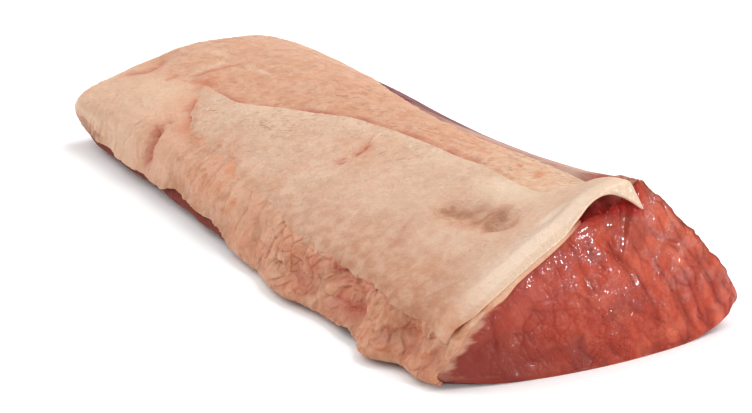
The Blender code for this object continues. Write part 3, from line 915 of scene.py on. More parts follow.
def moisture_finish():
    """Clear liquid that takes on the red of the cut beneath it."""
    finish = Finish("clear_moisture")
    tone = finish.noise(finish.object_place(), 1 / 0.0015, 2.0)
    return finish.shade(
        {
            "Base Color": finish.mix(finish.remap(tone, 0.35, 0.65), *MOISTURE),
            "Roughness": finish.remap(tone, 0.3, 0.7, 0.04, 0.1),
            "Normal": finish.bump(tone, 0.2, 0.0001),
        },
        coat_weight=1.0, coat_roughness=0.02, coat_ior=1.5,
    )


# ---------------------------------------------------------------- the lean
SEAM_DEPTH = 0.0007
SEAM_WIDTH = 0.00045
SEAM_STEP = 0.0011
FIRST_SEAM_SEED = 200
CUT_WARP = 0.0011
CUT_WARP_SIZE = 0.009
BUNDLE_SLANT = 0.47, 0.88
BUNDLE_WIDTH = 0.0062
BUNDLE_LENGTH = 0.020
RING = 320
COVERED_ROWS = 104
UNDERSIDE_ROWS = 60
FRONT_SQUARE = 120
BACK_SQUARE = 40
FINE_START = 0.9
LEAN_COLUMNS_LONG = 48
LEAN_COLUMNS_FRONT = 24


def square_cap(rim, end_x, reach, size):
    """A grid of 2 size + 1 squared points over a cut, whose rim follows the given closed ring."""
    i, j = np.meshgrid(np.arange(-size, size + 1), np.arange(-size, size + 1), indexing="ij")
    r = np.maximum(np.abs(i), np.abs(j))
    place = np.zeros(i.shape)
    safe = np.maximum(r, 1)
    sides = [
        ((i == r) & (j < r), j + r),
        ((j == r) & (i > -r), 3 * r - i),
        ((i == -r) & (j > -r), 5 * r - j),
        ((j == -r) & (i < r), 7 * r + i),
    ]
    for where, steps in sides:
        place = np.where(where, steps, place)
    place = place / (8 * safe) * len(rim)
    step = np.floor(place).astype(int) % len(rim)
    part = (place - np.floor(place))[..., None]
    edge = rim[step] * (1 - part) + rim[(step + 1) % len(rim)] * part
    share = (r / size)[..., None]
    centre = np.array([FACE_CENTRE[0] + CENTRE_Y, FACE_CENTRE[1]])
    across = centre + (edge[..., 1:] - centre) * share
    lift = edge[..., 0] - end_x - reach * bulge(edge[..., 1] - CENTRE_Y, edge[..., 2])
    x = end_x + reach * bulge(across[..., 0] - CENTRE_Y, across[..., 1]) + lift * share[..., 0] ** 2
    return np.concatenate([x[..., None], across], -1), r / size


def square_loop(size):
    """The indices of a square grid's rim, in the order of square_cap's ring."""
    side = 2 * size + 1
    steps = np.arange(2 * size)
    back, first, last = side - 1 - steps, np.zeros(2 * size, int), np.full(2 * size, side - 1)
    i = np.concatenate([last, back, first, steps])
    j = np.concatenate([steps, last, back, first])
    return i * side + j


def cut_relief(y, z):
    """The height of the front cut's bundles and seams, how dark its seams are, and the painted
    shade beside the seams and where the bundles are low.
    """
    warped_y = y + CUT_WARP * rough(y / CUT_WARP_SIZE, z / CUT_WARP_SIZE, 3)
    warped_z = z + CUT_WARP * rough(y / CUT_WARP_SIZE, z / CUT_WARP_SIZE, 7)
    seam = np.zeros(y.shape)
    seam_shade = np.zeros(y.shape)
    height = np.zeros(y.shape)
    patchy = 0.35 + 0.65 * ease(-0.5, 0.4, rough(y / 0.004, z / 0.004, 33, 2))
    for number, (depth, points) in enumerate(SEAMS):
        far, share, side = by_line(warped_y, warped_z, smooth_line(points))
        fine, valley = crease_shape(far, share, SEAM_WIDTH, FIRST_SEAM_SEED + number)
        wide = mound(far, 0, 0.0030) * clipped(np.sin(np.pi * share) * TAPER)
        seam = np.maximum(seam, min(0.85 * depth, 1.0) * fine * patchy)
        # painted shade in the valley beside each seam
        seam_shade = np.maximum(seam_shade, depth * valley)
        height -= depth * (0.00016 * fine + 0.00024 * valley + 0.00028 * wide)
        height += 0.00028 * depth * np.tanh(side * far / SEAM_STEP) * wide
    right = ease(-0.005, 0.045, y)
    slant_y, slant_z = BUNDLE_SLANT
    along_bundle = slant_y * warped_y - slant_z * warped_z
    across_bundle = slant_z * warped_y + slant_y * warped_z
    nearest, second = bundles(across_bundle / BUNDLE_WIDTH, along_bundle / BUNDLE_LENGTH, 21)
    split = mound(second - nearest, 0, 0.10)
    broken = ease(-0.5, 0.5, rough(y / 0.008, z / 0.008, 25, 2))
    rounded = (0.0003 + 0.0006 * right) * (0.45 - nearest)
    height += rounded - 0.0003 * split * broken
    seam = np.maximum(seam, split * broken * (0.20 + 0.32 * right) * patchy)
    left = fall(-0.02, 0.01, y)
    round_cell, next_cell = bundles(warped_y / 0.0095, warped_z / 0.0080, 27)
    border = mound(next_cell - round_cell, 0, 0.08) * left * broken
    height += left * (0.0003 * (0.45 - round_cell)) - 0.0002 * border
    seam = np.maximum(seam, 0.30 * border)
    # painted shade where the bundles are low
    seam_shade = np.maximum(seam_shade, clipped(-rounded / 0.0003) * right)
    height += 0.0006 * rough(y / 0.012, z / 0.012, 5)
    height += 0.00007 * rough(y / 0.0024, z / 0.0018, 9, 2)
    return height, seam, seam_shade


def lean_rows(u):
    """The v of each point of the lean's rings."""
    low = through(FAT_LOW, u)
    high = through(FAT_HIGH, u)
    open_rows = RING - COVERED_ROWS - UNDERSIDE_ROWS
    covered = band(low + EDGE, high - EDGE, COVERED_ROWS)
    shown = band(high, np.full_like(high, LAST_SHOWN), open_rows)
    below = band(np.full_like(high, LAST_SHOWN + 0.03), low + POINTS, UNDERSIDE_ROWS)
    return np.concatenate([covered, shown, below])


def band(start, end, count):
    """Rows of places from the curve start to the curve end, one column for each value of u."""
    return start + (end - start) * np.linspace(0, 1, count)[:, None]


def silver_share(u, v):
    """Where silverskin covers the bare lean: from the fat's edge to halfway down the far side."""
    s, t = metres(u, v)
    ragged = 0.35 * rough(s / 0.020, t / 0.010, 41)
    return fall(7.0, 8.0, v + ragged) * fall(0.90, 0.965, u + 0.02 * ragged)


LEAN_LAYERS = [
    "silver", "seam", "foot", "pale", "light", "lilac", "plum", "lean_shade_and_dark_tone", "web", "moist", "beaded",
    "under_flap_shade",
]
FAT_LAYERS = ["blush", "reddened", "cream_and_painted_highlight", "fat_shade_and_dark_tone", "under_flap_shade", "moist", "wrinkled", "rugged"]


def no_layers(names, like):
    """Every layer of a finish, with nothing in it."""
    return {name: np.zeros(like.shape) for name in names}


def lean_layers(u, v):
    """The lean's surface away from the cuts: its points and its layers."""
    s, t = metres(u, v)
    depth = np.where(v < through(FAT_HIGH, u) - EDGE / 2, buried(u, v), bare(u, v))
    shown = ease(through(FAT_HIGH, u) - EDGE, through(FAT_HIGH, u) + EDGE, v) * (1 - underside(v))
    silver = silver_share(u, v) * ease(3.5, 4.5, v)
    fibres = rough(s / 0.030, t / 0.0021, 51, 3)
    meat = rough(s / 0.012, t / 0.006, 53, 4)
    bumps = rough(s / 0.006, t / 0.0055, 55, 3) * ease(0.93, 0.985, u)
    relief = shown * (0.00022 * fibres * silver + (0.0006 * meat + 0.0012 * bumps) * (1 - silver))
    points = at_depth(u, v, depth - relief)
    points[..., 2] = np.maximum(points[..., 2], 0)
    foot = ease(11.4, 11.8, v) * (1 - ease(12.75, 12.95, v) * ease(0.17, 0.12, u))
    spotted = ease(-0.5, 0.4, rough(s / 0.004, t / 0.004, 61))
    return points, {
        **no_layers(LEAN_LAYERS, s),
        "silver": silver,
        "seam": shown * (1 - silver) * 0.5 * ease(0.1, 0.6, rough(s / 0.016, t / 0.003, 57)),
        "foot": foot * 0.9,
        "pale": 0.9 * shown * ease(0.945, 0.975, u) * mound(v, 5.35, 0.45) * spotted,
        "plum": silver * ease(5.25, 5.65, v + 0.15 * fibres),
        "lilac": shown * 0.35,
        # a darker tone over the bare sides of the lean
        "lean_shade_and_dark_tone": shown * (0.62 + 0.30 * meat),
        "web": shown * 0.4,
        "moist": shown * 0.1,
        # painted shade on the lean under the flap
        "under_flap_shade": ease(0.94, 0.965, u) * ease(3.4, 3.8, v) * ease(5.25, 4.95, v),
    }


# Where the front cut is wettest: y, z, reach along y, reach along z and strength
WET_SPOTS = [
    (-0.004, 0.055, 0.012, 0.005, 1.0), (-0.018, 0.05, 0.006, 0.003, 0.8),
    (-0.026, 0.046, 0.004, 0.003, 0.8), (-0.036, 0.04, 0.005, 0.0015, 0.6),
    (0.021, 0.045, 0.003, 0.004, 0.7), (0.033, 0.039, 0.002, 0.002, 0.8),
    (0.042, 0.047, 0.005, 0.004, 0.9), (0.031, 0.059, 0.003, 0.005, 0.9),
    (0.026, 0.0625, 0.003, 0.003, 0.8), (0.05, 0.03, 0.003, 0.004, 0.7),
    (0.058, 0.036, 0.004, 0.004, 0.8), (0.0455, 0.018, 0.002, 0.002, 0.7),
    (0.069, 0.018, 0.002, 0.003, 0.6), (0.01, 0.047, 0.01, 0.006, 0.5),
]


def feathered_rim(y, z, out):
    """Where the fat of the near side feathers into the front cut."""
    ragged = rough(y / 0.012, z / 0.0030, 75, 3) + 0.6 * rough(y / 0.004, z / 0.0012, 76, 2)
    near = ease(-0.036, -0.050, y) * ease(0.003, 0.009, z + 0.001 * ragged)
    return 0.9 * near * ease(0.915, 0.985, out + 0.045 * ragged)


def make_lean(cut):
    """The lean as one closed mesh: rings along the loin, and a square grid over each cut."""
    u = np.concatenate([
        np.linspace(0, FINE_START, LEAN_COLUMNS_LONG, endpoint=False),
        np.linspace(FINE_START, 1, LEAN_COLUMNS_FRONT),
    ])
    v = lean_rows(u)
    skin_u = np.broadcast_to(u, v.shape)
    points, layers = lean_layers(skin_u, v)
    rings = points.transpose(1, 0, 2)
    surface = surface_map(skin_u, v).transpose(1, 0, 2)
    parts = [rings.reshape(-1, 3)]
    flat_parts = [surface.reshape(-1, 3)]
    layer_parts = {name: [values.T.reshape(-1)] for name, values in layers.items()}
    faces = [ring_faces(len(rings), RING)]
    ends = [
        (rings[-1], FRONT_X, FRONT_BULGE, FRONT_SQUARE, 1),
        (rings[0], BACK_X, -BACK_BULGE, BACK_SQUARE, -1),
    ]
    for rim, end_x, reach, size, facing in ends:
        grid, out = square_cap(rim, end_x, reach, size)
        y, z = grid[..., 1] - CENTRE_Y, grid[..., 2]
        height, seam, seam_shade = cut_relief(y * facing, z)
        height = height * cut.seam_depth / SEAM_DEPTH * fall(0.96, 1.0, out)
        rounding = 0.0008 * ease(0.80, 1.02, out) * ease(0.022, 0.045, z)
        grid[..., 0] += facing * (height + 0.0003 * fall(0.94, 1.0, out) - rounding)
        grid[..., 2] = np.maximum(grid[..., 2], 0)
        first = sum(len(part) for part in parts)
        parts.append(grid.reshape(-1, 3))
        flat_parts.append(np.stack([y, z, np.zeros_like(y)], -1).reshape(-1, 3))
        granular = ease(-0.4, 0.4, rough(y / 0.005, z / 0.005, 71))
        wet = patches(y, z, WET_SPOTS)
        moist = granular * clipped(0.04 + 0.70 * ease(0.018, 0.042, z + 0.30 * y) + wet)
        cap_layers = {
            **no_layers(LEAN_LAYERS, y),
            "seam": seam,
            "pale": feathered_rim(y, z, out),
            # painted light: lighter on the upper right and on the bundle tops, with paler random
            # patches
            "light": clipped(
                0.40 * ease(0.0, 0.04, y) * ease(0.024, 0.045, z)
                + 0.34 * ease(0.0, 0.7, rough(y / 0.007, z / 0.009, 77))
                + 0.30 * ease(0.0001, 0.0006, height) * ease(-0.01, 0.03, y)
            ),
            "lilac": 0.8 * ease(0.002, -0.032, y) * ease(0.016, 0.036, z),
            # painted shade: darker to the lower left and low on the cut and beside the seams, with
            # darker random patches
            "lean_shade_and_dark_tone": np.clip(
                0.65 * ease(-0.015, -0.055, y) * ease(0.036, 0.006, z)
                + 0.30 * ease(0.03, 0.002, z) * ease(0.03, -0.01, y)
                + 0.20 * ease(0.005, -0.035, y)
                + 0.40 * ease(0.0, 0.7, rough(y / 0.011, z / 0.011, 79))
                + 0.25 * seam_shade, 0, 0.9,
            ),
            "web": 0.25 + 0.75 * mound(y, 0.008, 0.024) * mound(z, 0.013, 0.011),
            "moist": moist * (1 - 0.45 * ease(0.025, 0.055, y)) * (1 - 0.6 * seam),
            "beaded": (0.04 + wet) * granular * (facing > 0) * (out < 0.98),
            # painted shade on the top of the cut under the flap
            "under_flap_shade": ease(-0.004, 0.002, y) * ease(0.031, 0.024, y) * ease(0.0545, 0.0585, z),
        }
        for name, values in cap_layers.items():
            layer_parts[name].append(values.reshape(-1))
        ring = 0 if facing < 0 else len(rings) - 1
        faces.append(grid_faces(2 * size + 1, 2 * size + 1, first))
        faces.append(stitch(first + square_loop(size), ring * RING + np.arange(RING)))
    return mesh_piece(
        "lean_muscle", np.concatenate(parts), np.concatenate(faces), lean_finish(cut),
        {name: np.concatenate(values) for name, values in layer_parts.items()},
        np.concatenate(flat_parts),
    )


# ---------------------------------------------------------------- the inner fat
FAT_COLUMNS = 421
NEAR_ROWS = 92
HIDDEN_ROWS = 17
TOP_ROWS = 64
FAT_RATIO = 4
WALL_RINGS = 5
LOWEST_TOP = 0.0003
LOWEST_BOTTOM = 0.0001
INNER_ROUNDNESS = 0.55
INNER_WRINKLES = (0.003, 0.013, 1), 0.85
INNER_ROUGHNESS = 0.42


def ragged_low(u):
    """The inner fat's lower edge with its small notches."""
    return through(FAT_LOW, u) + 0.035 * rough(u * LENGTH / 0.008, np.zeros_like(u), 81, 2)


def sheet_low(u):
    """The outer sheet's lower edge with its small notches."""
    return through(SHEET_LOW, u) + 0.09 * rough(u * LENGTH / 0.009, np.full_like(u, 0.5), 83)


def past_sheet_start(u):
    """0 behind the back end of the outer sheet and 1 in front of it."""
    return ease(SHEET_START - 0.004, SHEET_START + 0.004, u)


def sheet_cover(u, v):
    """How far the inner fat has sunk under the outer sheet, from 0 to 1."""
    low, high = sheet_low(u), through(SHEET_HIGH, u)
    inside = ease(low + 0.12, low + 0.45, v) * fall(high - 0.02, high + 0.02, v)
    return inside * past_sheet_start(u)


def valleys(p, q, seed, width):
    """Thin winding valleys of depth 1 between rounded ridges."""
    return mound(rough(p, q, seed, 3), 0, width)


BLUSHED_SPOTS = [
    (0.865, 4.52, 0.012, 0.1, 1.0), (0.817, 4.6, 0.008, 0.06, 0.9),
    (0.789, 4.52, 0.006, 0.06, 0.8), (0.085, 4.9, 0.02, 0.12, 0.5), (0.335, 2.42, 0.014, 0.2, 0.6),
    (0.43, 2.3, 0.025, 0.12, 0.5), (0.205, 3.55, 0.025, 0.2, 0.6), (0.24, 2.9, 0.016, 0.25, 0.45),
    (0.3, 2.45, 0.03, 0.2, 0.5), (0.815, 0.92, 0.03, 0.13, 1.0), (0.79, 1.05, 0.012, 0.15, 0.8),
    (0.845, 0.85, 0.012, 0.12, 0.8), (0.78, 1.75, 0.03, 0.12, 0.7), (0.7, 1.55, 0.02, 0.15, 0.6),
    (0.945, 1.0, 0.012, 0.5, 0.6),
]
CREAM_SPOTS = [
    (0.245, 4.3, 0.03, 0.07, 1.0), (0.155, 3.9, 0.008, 0.45, 0.8), (0.1, 4.35, 0.05, 0.08, 0.6),
    (0.05, 1.1, 0.06, 0.35, 0.7), (0.822, 0.5, 0.022, 0.07, 1.0), (0.378, 0.62, 0.022, 0.08, 0.9),
]


def inner_relief(u, v, fat):
    """The inner fat's own small relief and its colour layers."""
    s, t = metres(u, v)
    top = ease(2.9, 3.7, v)
    near = fall(2.2, 2.9, v)
    lumpy = near * ease(0.50, 0.70, u)
    warp = 0.9 * waves(s / 0.013, t / 0.013, 90)
    lengthwise = valleys((s + 0.3 * t) / 0.020, (t - 0.12 * s) / 0.0042 + warp, 91, 0.28)
    folds = valleys((s + 0.2 * t) / 0.0075 + warp, t / 0.017, 93, 0.20)
    crinkles = valleys(s / 0.0034 + warp, t / 0.0040 - warp, 101, 0.22)
    knob, next_knob = bundles(s / 0.0085 + 0.3 * warp, t / 0.0075, 103)
    small = bundles(s / 0.0044 + 0.5 * warp, t / 0.0040, 107)[0]
    broad = rough(s / 0.015, t / 0.012, 97, 3)
    height = -fat.wrinkle_height * top * lengthwise
    height += 0.0007 * top * fall(0.6, 0.9, u) * rough(s / 0.024, t / 0.020, 109, 2)
    above_foot = 0.30 + 0.70 * ease(0.1, 1.1, v)
    lumps_here = 0.95 * (0.5 - knob) + 0.7 * broad - 0.65 * folds
    height += fat.fold_height * lumpy * above_foot * lumps_here
    height += fat.fold_height * near * (1 - lumpy) * (0.45 * broad - 0.28 * folds)
    height += 0.0004 * lumpy * (0.4 - small)
    height -= 0.00014 * crinkles * (0.35 + 0.65 * near)
    height += 0.00008 * rough(s / 0.002, t / 0.002, 95, 2)
    creases, red = creased(u, v, INNER_CREASES)
    between = mound(next_knob - knob, 0, 0.09)
    split = between * lumpy * fall(1.9, 2.5, v) * ease(-0.5, 0.3, broad)
    height -= 0.0005 * split * above_foot
    red = np.maximum(red, 0.55 * split)
    beside = np.abs(v - through(SHEET_HIGH, u) - 0.03) * 0.010
    along_sheet = mound(beside, 0, 0.0008) * ease(0.225, 0.26, u) * fall(0.70, 0.90, u)
    height += creases - 0.0004 * along_sheet
    crease = np.maximum(red, along_sheet * (0.50 + 0.35 * waves(s / 0.009, t * 0, 99)))
    low_lumps = lumpy * fall(1.7, 2.3, v)
    slanting = v + 4.0 * u + 0.10 * broad
    back_end = fall(0.08, 0.12, u)
    back_foot = fall(1.35, 1.50, slanting) * back_end
    # painted shade in the folds between the lumps and at the back foot; darker along the low edge
    # and toward the back end
    fat_shade_and_dark_tone = most(
        0.17 * low_lumps * ease(0.1, 0.9, folds + 0.5 * knob),
        0.35 * near * ease(0.2, 0.9, folds - 0.3 * broad) * ease(0.25, 0.4, u),
        0.9 * back_foot,
        0.45 * fall(0.2, 0.9, v - ragged_low(u)) * ease(0.2, 0.35, u),
        0.22 * top * fall(0.50, 0.75, u),
        0.15 * fall(0.14, 0.22, u),
    )
    # reddening of the fat; at the back foot it deepens the painted shade
    blush = most(
        0.46 * low_lumps * ease(-0.7, 0.7, broad + 0.5 * folds),
        0.55 * near * ease(0.25, 0.45, u) * ease(0.0, 0.8, broad + 0.4 * crinkles),
        0.40 * lumpy * crinkles,
        0.75 * low_lumps * ease(0.45, 0.85, small),
        0.22 * top * lengthwise * ease(0.12, 0.25, u),
        0.5 * back_foot,
        patches(u, v, BLUSHED_SPOTS),
        0.25 * strip(u, v),
    )
    cream_and_painted_highlight = most(
        0.5 * fall(0.16, 0.24, u) * fall(3.0, 3.4, v),
        0.75 * top * ease(0.66, 0.88, u) * ease(-0.6, 0.4, broad),
        # a painted highlight along the rounded edge above the back foot
        mound(slanting, 1.70, 0.16) * back_end,
        patches(u, v, CREAM_SPOTS),
        0.55 * strip(u, v),
    )
    return height, {
        **no_layers(FAT_LAYERS, s),
        "blush": clipped(blush),
        "reddened": clipped(crease),
        "cream_and_painted_highlight": clipped(cream_and_painted_highlight),
        "fat_shade_and_dark_tone": clipped(fat_shade_and_dark_tone),
        # painted shade on the fat's front end under the flap
        "under_flap_shade": ease(0.955, 0.975, u) * ease(3.55, 3.95, v),
        "moist": 0.2 * lumpy * ease(0.0, 0.6, broad),
        "wrinkled": clipped(top * (0.6 + 0.4 * broad)),
        "rugged": clipped(lumpy * fall(1.8, 2.4, v) + 0.30 * near * ease(0.2, 0.4, u)),
    }


def make_inner_fat(fat):
    """The inner fat as a closed slab, finest where it shows."""
    u = np.linspace(0, 1, FAT_COLUMNS)
    low = ragged_low(u) + 2 * EDGE
    high = through(FAT_HIGH, u) - 2 * EDGE
    middle = (through(SHEET_LOW, u) + through(SHEET_HIGH, u)) / 2
    low_cover = np.minimum(sheet_low(u) + 0.35, middle - 0.02)
    high_cover = np.maximum(np.minimum(through(SHEET_HIGH, u) - 0.06, high - EDGE), middle + 0.02)
    v = np.concatenate([
        band(low, low_cover, NEAR_ROWS),
        band(low_cover, high_cover, HIDDEN_ROWS + 1)[1:],
        band(high_cover, high, TOP_ROWS + 1)[1:],
    ])
    u = np.broadcast_to(u, v.shape)
    height, layers = inner_relief(u, v, fat)
    cover = np.maximum(sheet_cover(u, v), sunk_top(u) * ease(0, 0.3, v - through(SHEET_LOW, u)))
    sheet = through(SHEET_HIGH, u)
    under = ease(sheet_low(u) - 0.12, sheet_low(u) + 0.12, v) * fall(-0.02, 0.02, v - sheet)
    shown = 1 - 0.85 * np.maximum(cover, under * past_sheet_start(u))
    raised = (FLAP_LIFT * flap(u, v) + LIP_PLAY) * sunk_top(u) * fall(3.7, 4.0, v)
    top_depth = (SHEET_BELOW + GAP) * cover + hollow(u, v) - height * shown - raised
    top = at_depth(u, v, top_depth)
    bottom = at_depth(u, v, buried(u, v) - GAP)
    for side, lowest in ((top, LOWEST_TOP), (bottom, LOWEST_BOTTOM)):
        side[..., 2] = np.maximum(side[..., 2], lowest)
        side[..., 0] += STRIP_FORWARD * strip(u, v)
    points, faces = slab(top, bottom, FAT_RATIO, INNER_ROUNDNESS, WALL_RINGS)
    layers = {name: spread(values, FAT_RATIO, WALL_RINGS) for name, values in layers.items()}
    surface = spread(surface_map(u, v), FAT_RATIO, WALL_RINGS)
    material = fat_finish(
        "pink_inner_fat", tuple(fat.inner_colour), *INNER_TONES, *INNER_WRINKLES, INNER_ROUGHNESS
    )
    return mesh_piece("inner_fat_layer", points, faces, material, layers, surface)


# ---------------------------------------------------------------- the outer sheet
SHEET_COLUMNS = 377
DRAPE_COLUMNS = 24
SHEET_ROWS = 161
SHEET_RATIO = 2
SHEET_ROUNDNESS = 0.7
SHEET_WRINKLES = (0.0026, 0.0085, 1), 0.64
SHEET_ROUGHNESS = 0.38
LIP_MAP_LENGTH = 0.008
LOW_CORNER_TUCK = 0.007


def tucked(v):
    """How far the sheet's low front corner stays behind the front cut, as a share of the length."""
    return LOW_CORNER_TUCK * fall(1.5, 2.2, v)


def drape(v, over_share):
    """How the sheet goes on past the front cut: its outer points and the way they face."""
    lip = ease(1.5, 2.1, v) * fall(3.5, 4.1, v)
    reach = LIP_OVERHANG + LIP_CURL * lip + FLAP_OVERHANG * mound(v, FLAP_TIP, TIP_REACH)
    over = reach * over_share
    edge = at_depth(1 - tucked(v), v, -SHEET_ABOVE - FLAP_LIFT * flap(1, v))
    up = outward(np.ones_like(v), v)
    turn = ease(0, 0.007, over) * (0.58 + 0.22 * ease(4.5, 5.2, v))
    turn = (turn + (0.75 * ease(0, 0.0042, over) - turn) * lip)[..., None]
    forward = np.array([1.0, 0, 0])
    way = forward * (1 - turn) - up * turn
    place = edge + over[..., None] * way
    lean = FRONT_X + FRONT_BULGE * bulge(place[..., 1] - CENTRE_Y, place[..., 2])
    clear = lean + SHEET_ABOVE + SHEET_BELOW + 3 * GAP
    place[..., 0] += np.maximum(clear - place[..., 0], 0) * ease(0.0008, 0.004, over)
    facing = up * (1 - turn) + forward * turn
    return place, facing / np.linalg.norm(facing, axis=-1, keepdims=True)


# The soft dent near the sheet's front, as lobes: u, v, their reaches and strength
DENT_LOBES = [
    (0.899, 3.43, 0.024, 0.23, 1.2),
    (0.858, 3.38, 0.022, 0.20, 1.0),
    (0.828, 3.26, 0.016, 0.17, 0.75),
]


def sheet_relief(u, v, fat):
    """The outer sheet's wrinkles, dents and creases, and its colour layers."""
    s, t = metres(u, v)
    warp = 0.9 * waves(s / 0.014, t / 0.014, 111)
    wrinkles = valleys((s - 0.30 * t) / 0.0042 + warp, t / 0.014, 113, 0.26)
    some = ease(-0.4, 0.5, rough(s / 0.020, t / 0.014, 115, 2))
    from_top = through(SHEET_HIGH, u) - v
    strong = ease(0.22, 0.30, u) * fall(0.80, 0.88, u) * (1 - 0.6 * ease(0.55, 0.8, u))
    strong = strong * (0.30 + 0.70 * mound(from_top, 0.5, 0.8))
    height = -fat.wrinkle_height * 0.8 * strong * some * wrinkles
    height += 0.00035 * rough(s / 0.008, t / 0.008, 117, 3)
    height += 0.0006 * rough(s / 0.028, t / 0.020, 119, 2)
    dent = sum(
        share * mound(u, at_u, reach_u) * mound(v, at_v, reach_v)
        for at_u, at_v, reach_u, reach_v, share in DENT_LOBES
    )
    dent = clipped(clipped(dent) * (0.95 + 0.30 * rough(s / 0.005, t / 0.004, 121, 2)))
    height -= 0.0026 * dent
    rim = 0.0010 * mound(u, 0.986, 0.009) - 0.0006 * mound(u, 0.957, 0.012)
    height += rim * fall(3.9, 4.3, v)
    creases, red = creased(u, v, SHEET_CREASES)
    far, share = by_line(s, t, surface_line(KNIFE_MARK))[:2]
    white_cut = mound(far, 0, 0.0007) * clipped(np.sin(np.pi * share) * 2)
    height += creases + 0.0005 * white_cut
    from_low = v - sheet_low(u)
    # painted shade in the dent and toward the low front edge, over an even darker tone
    fat_shade_and_dark_tone = most(
        1.0 * dent,
        0.55 * fall(0.1, 1.6, from_low) * ease(0.40, 0.80, u),
        0.13,
        0.50 * mound(u, 0.93, 0.040) * mound(v, 2.2, 0.6),
    )
    fading = fall(0.05, 0.55, from_low) * ease(-0.9, 0.4, rough(s / 0.010, t / 0.008, 125))
    # reddening of the fat; in the dent and toward the low front it deepens the painted shade
    blush = most(
        0.62 * dent,
        0.45 * fading,
        0.55 * fall(0.2, 1.3, from_low) * ease(0.55, 0.9, u),
        0.25 * mound(u, 0.60, 0.05) * mound(v, 3.6, 0.5),
    )
    cream_and_painted_highlight = most(
        # paler cream along the rolled lip, partly a painted highlight on its edge
        0.75 * ease(0.970, 0.992, u) * ease(1.7, 2.6, v),
        white_cut,
        1.0 * mound(u, 0.86, 0.06) * mound(v, 3.95, 0.28),
        # a painted highlight: the white wet streak on the lip
        1.6 * mound(u, 0.966, 0.007) * mound(v, 3.68, 0.20),
        0.4 * fall(0.05, 0.6, from_top) * ease(0.25, 0.35, u),
    )
    return height, {
        **no_layers(FAT_LAYERS, s),
        "blush": clipped(blush),
        "reddened": red,
        "cream_and_painted_highlight": clipped(cream_and_painted_highlight),
        "fat_shade_and_dark_tone": fat_shade_and_dark_tone * fall(0.965, 0.985, u),
        "moist": ease(0.955, 0.972, u) * mound(v, 3.3, 0.9),
        "wrinkled": strong * (0.4 + 0.6 * some),
    }


def make_outer_fat(fat):
    """The pale sheet as a closed slab, thin at its trimmed edges and with a flap at the front."""
    u = np.linspace(SHEET_START, 1, SHEET_COLUMNS)
    v = band(sheet_low(u), through(SHEET_HIGH, u), SHEET_ROWS)
    u = u - tucked(v) * ease(0.96, 1, u)
    height, layers = sheet_relief(u, v, fat)
    t = metres(u, v)[1]
    from_low = t - t[:1]
    from_high = t[-1:] - t
    s_in = (u - SHEET_START) * LENGTH
    flap_edge = ease(0.90, 0.94, u)
    body = most(
        ease(-0.0004, 0.0012, from_high) * ease(-0.0004, 0.003, s_in),
        flap_edge * ease(-0.0004, 0.0014, from_high),
    ) * ease(-0.001, 0.0065, from_low)
    sink = SHEET_ABOVE + GAP
    lift = FLAP_LIFT * flap(u, v)
    relief = height * np.minimum(1, body + 0.3)
    top = at_depth(u, v, -SHEET_ABOVE + sink * (1 - body) - lift - relief)
    bottom = at_depth(u, v, SHEET_BELOW - lift)
    thick = np.linalg.norm(top[:, -1:] - bottom[:, -1:], axis=-1, keepdims=True)
    front_v = v[:, -1]
    tops, bottoms = [top], [bottom]
    for column in range(1, DRAPE_COLUMNS + 1):
        part = column / DRAPE_COLUMNS
        slanted = front_v + FLAP_SLANT * part * ease(3.9, 4.9, front_v)
        place, facing = drape(slanted, part)
        drop = (1 - body[:, -1]) * sink - height[:, -1] * (1 - part)
        place = place - facing * drop[:, None]
        tops.append(place[:, None])
        bottoms.append((place - facing * thick[:, 0] * (1 - 0.2 * part**2))[:, None])
    top, bottom = np.concatenate(tops, 1), np.concatenate(bottoms, 1)
    last = {name: np.repeat(values[:, -1:], DRAPE_COLUMNS, 1) for name, values in layers.items()}
    layers = {name: np.concatenate([values, last[name]], 1) for name, values in layers.items()}
    flat = surface_map(u, v)
    past = np.repeat(flat[:, -1:], DRAPE_COLUMNS, 1)
    past[..., 0] += np.linspace(0, LIP_MAP_LENGTH, DRAPE_COLUMNS)
    points, faces = slab(top, bottom, SHEET_RATIO, SHEET_ROUNDNESS, WALL_RINGS)
    layers = {name: spread(values, SHEET_RATIO, WALL_RINGS) for name, values in layers.items()}
    surface = spread(np.concatenate([flat, past], 1), SHEET_RATIO, WALL_RINGS)
    material = fat_finish(
        "cream_outer_fat", tuple(fat.outer_colour), *OUTER_TONES, *SHEET_WRINKLES, SHEET_ROUGHNESS
    )
    return mesh_piece("outer_fat_sheet", points, faces, material, layers, surface)


# ---------------------------------------------------------------- moisture
BEADS_PER_AREA = 4.0e5
SMALLEST_BEAD = 0.35
BEAD_FLATNESS = 0.35
BEAD_SEGMENTS, BEAD_RINGS = 7, 4
BEAD_SEED, BEAD_SIZE_SEEDS = 5, (9, 11)
STREWING_INPUTS = [
    ("Surface", "Geometry", None), ("Layer", "String", "moist"), ("Most per area", "Float", 1e5),
    ("Spacing", "Float", 0.001), ("Smallest", "Float", 0.0002), ("Largest", "Float", 0.0005),
    ("Flatness", "Float", 0.4), ("Finish", "Material", None),
]


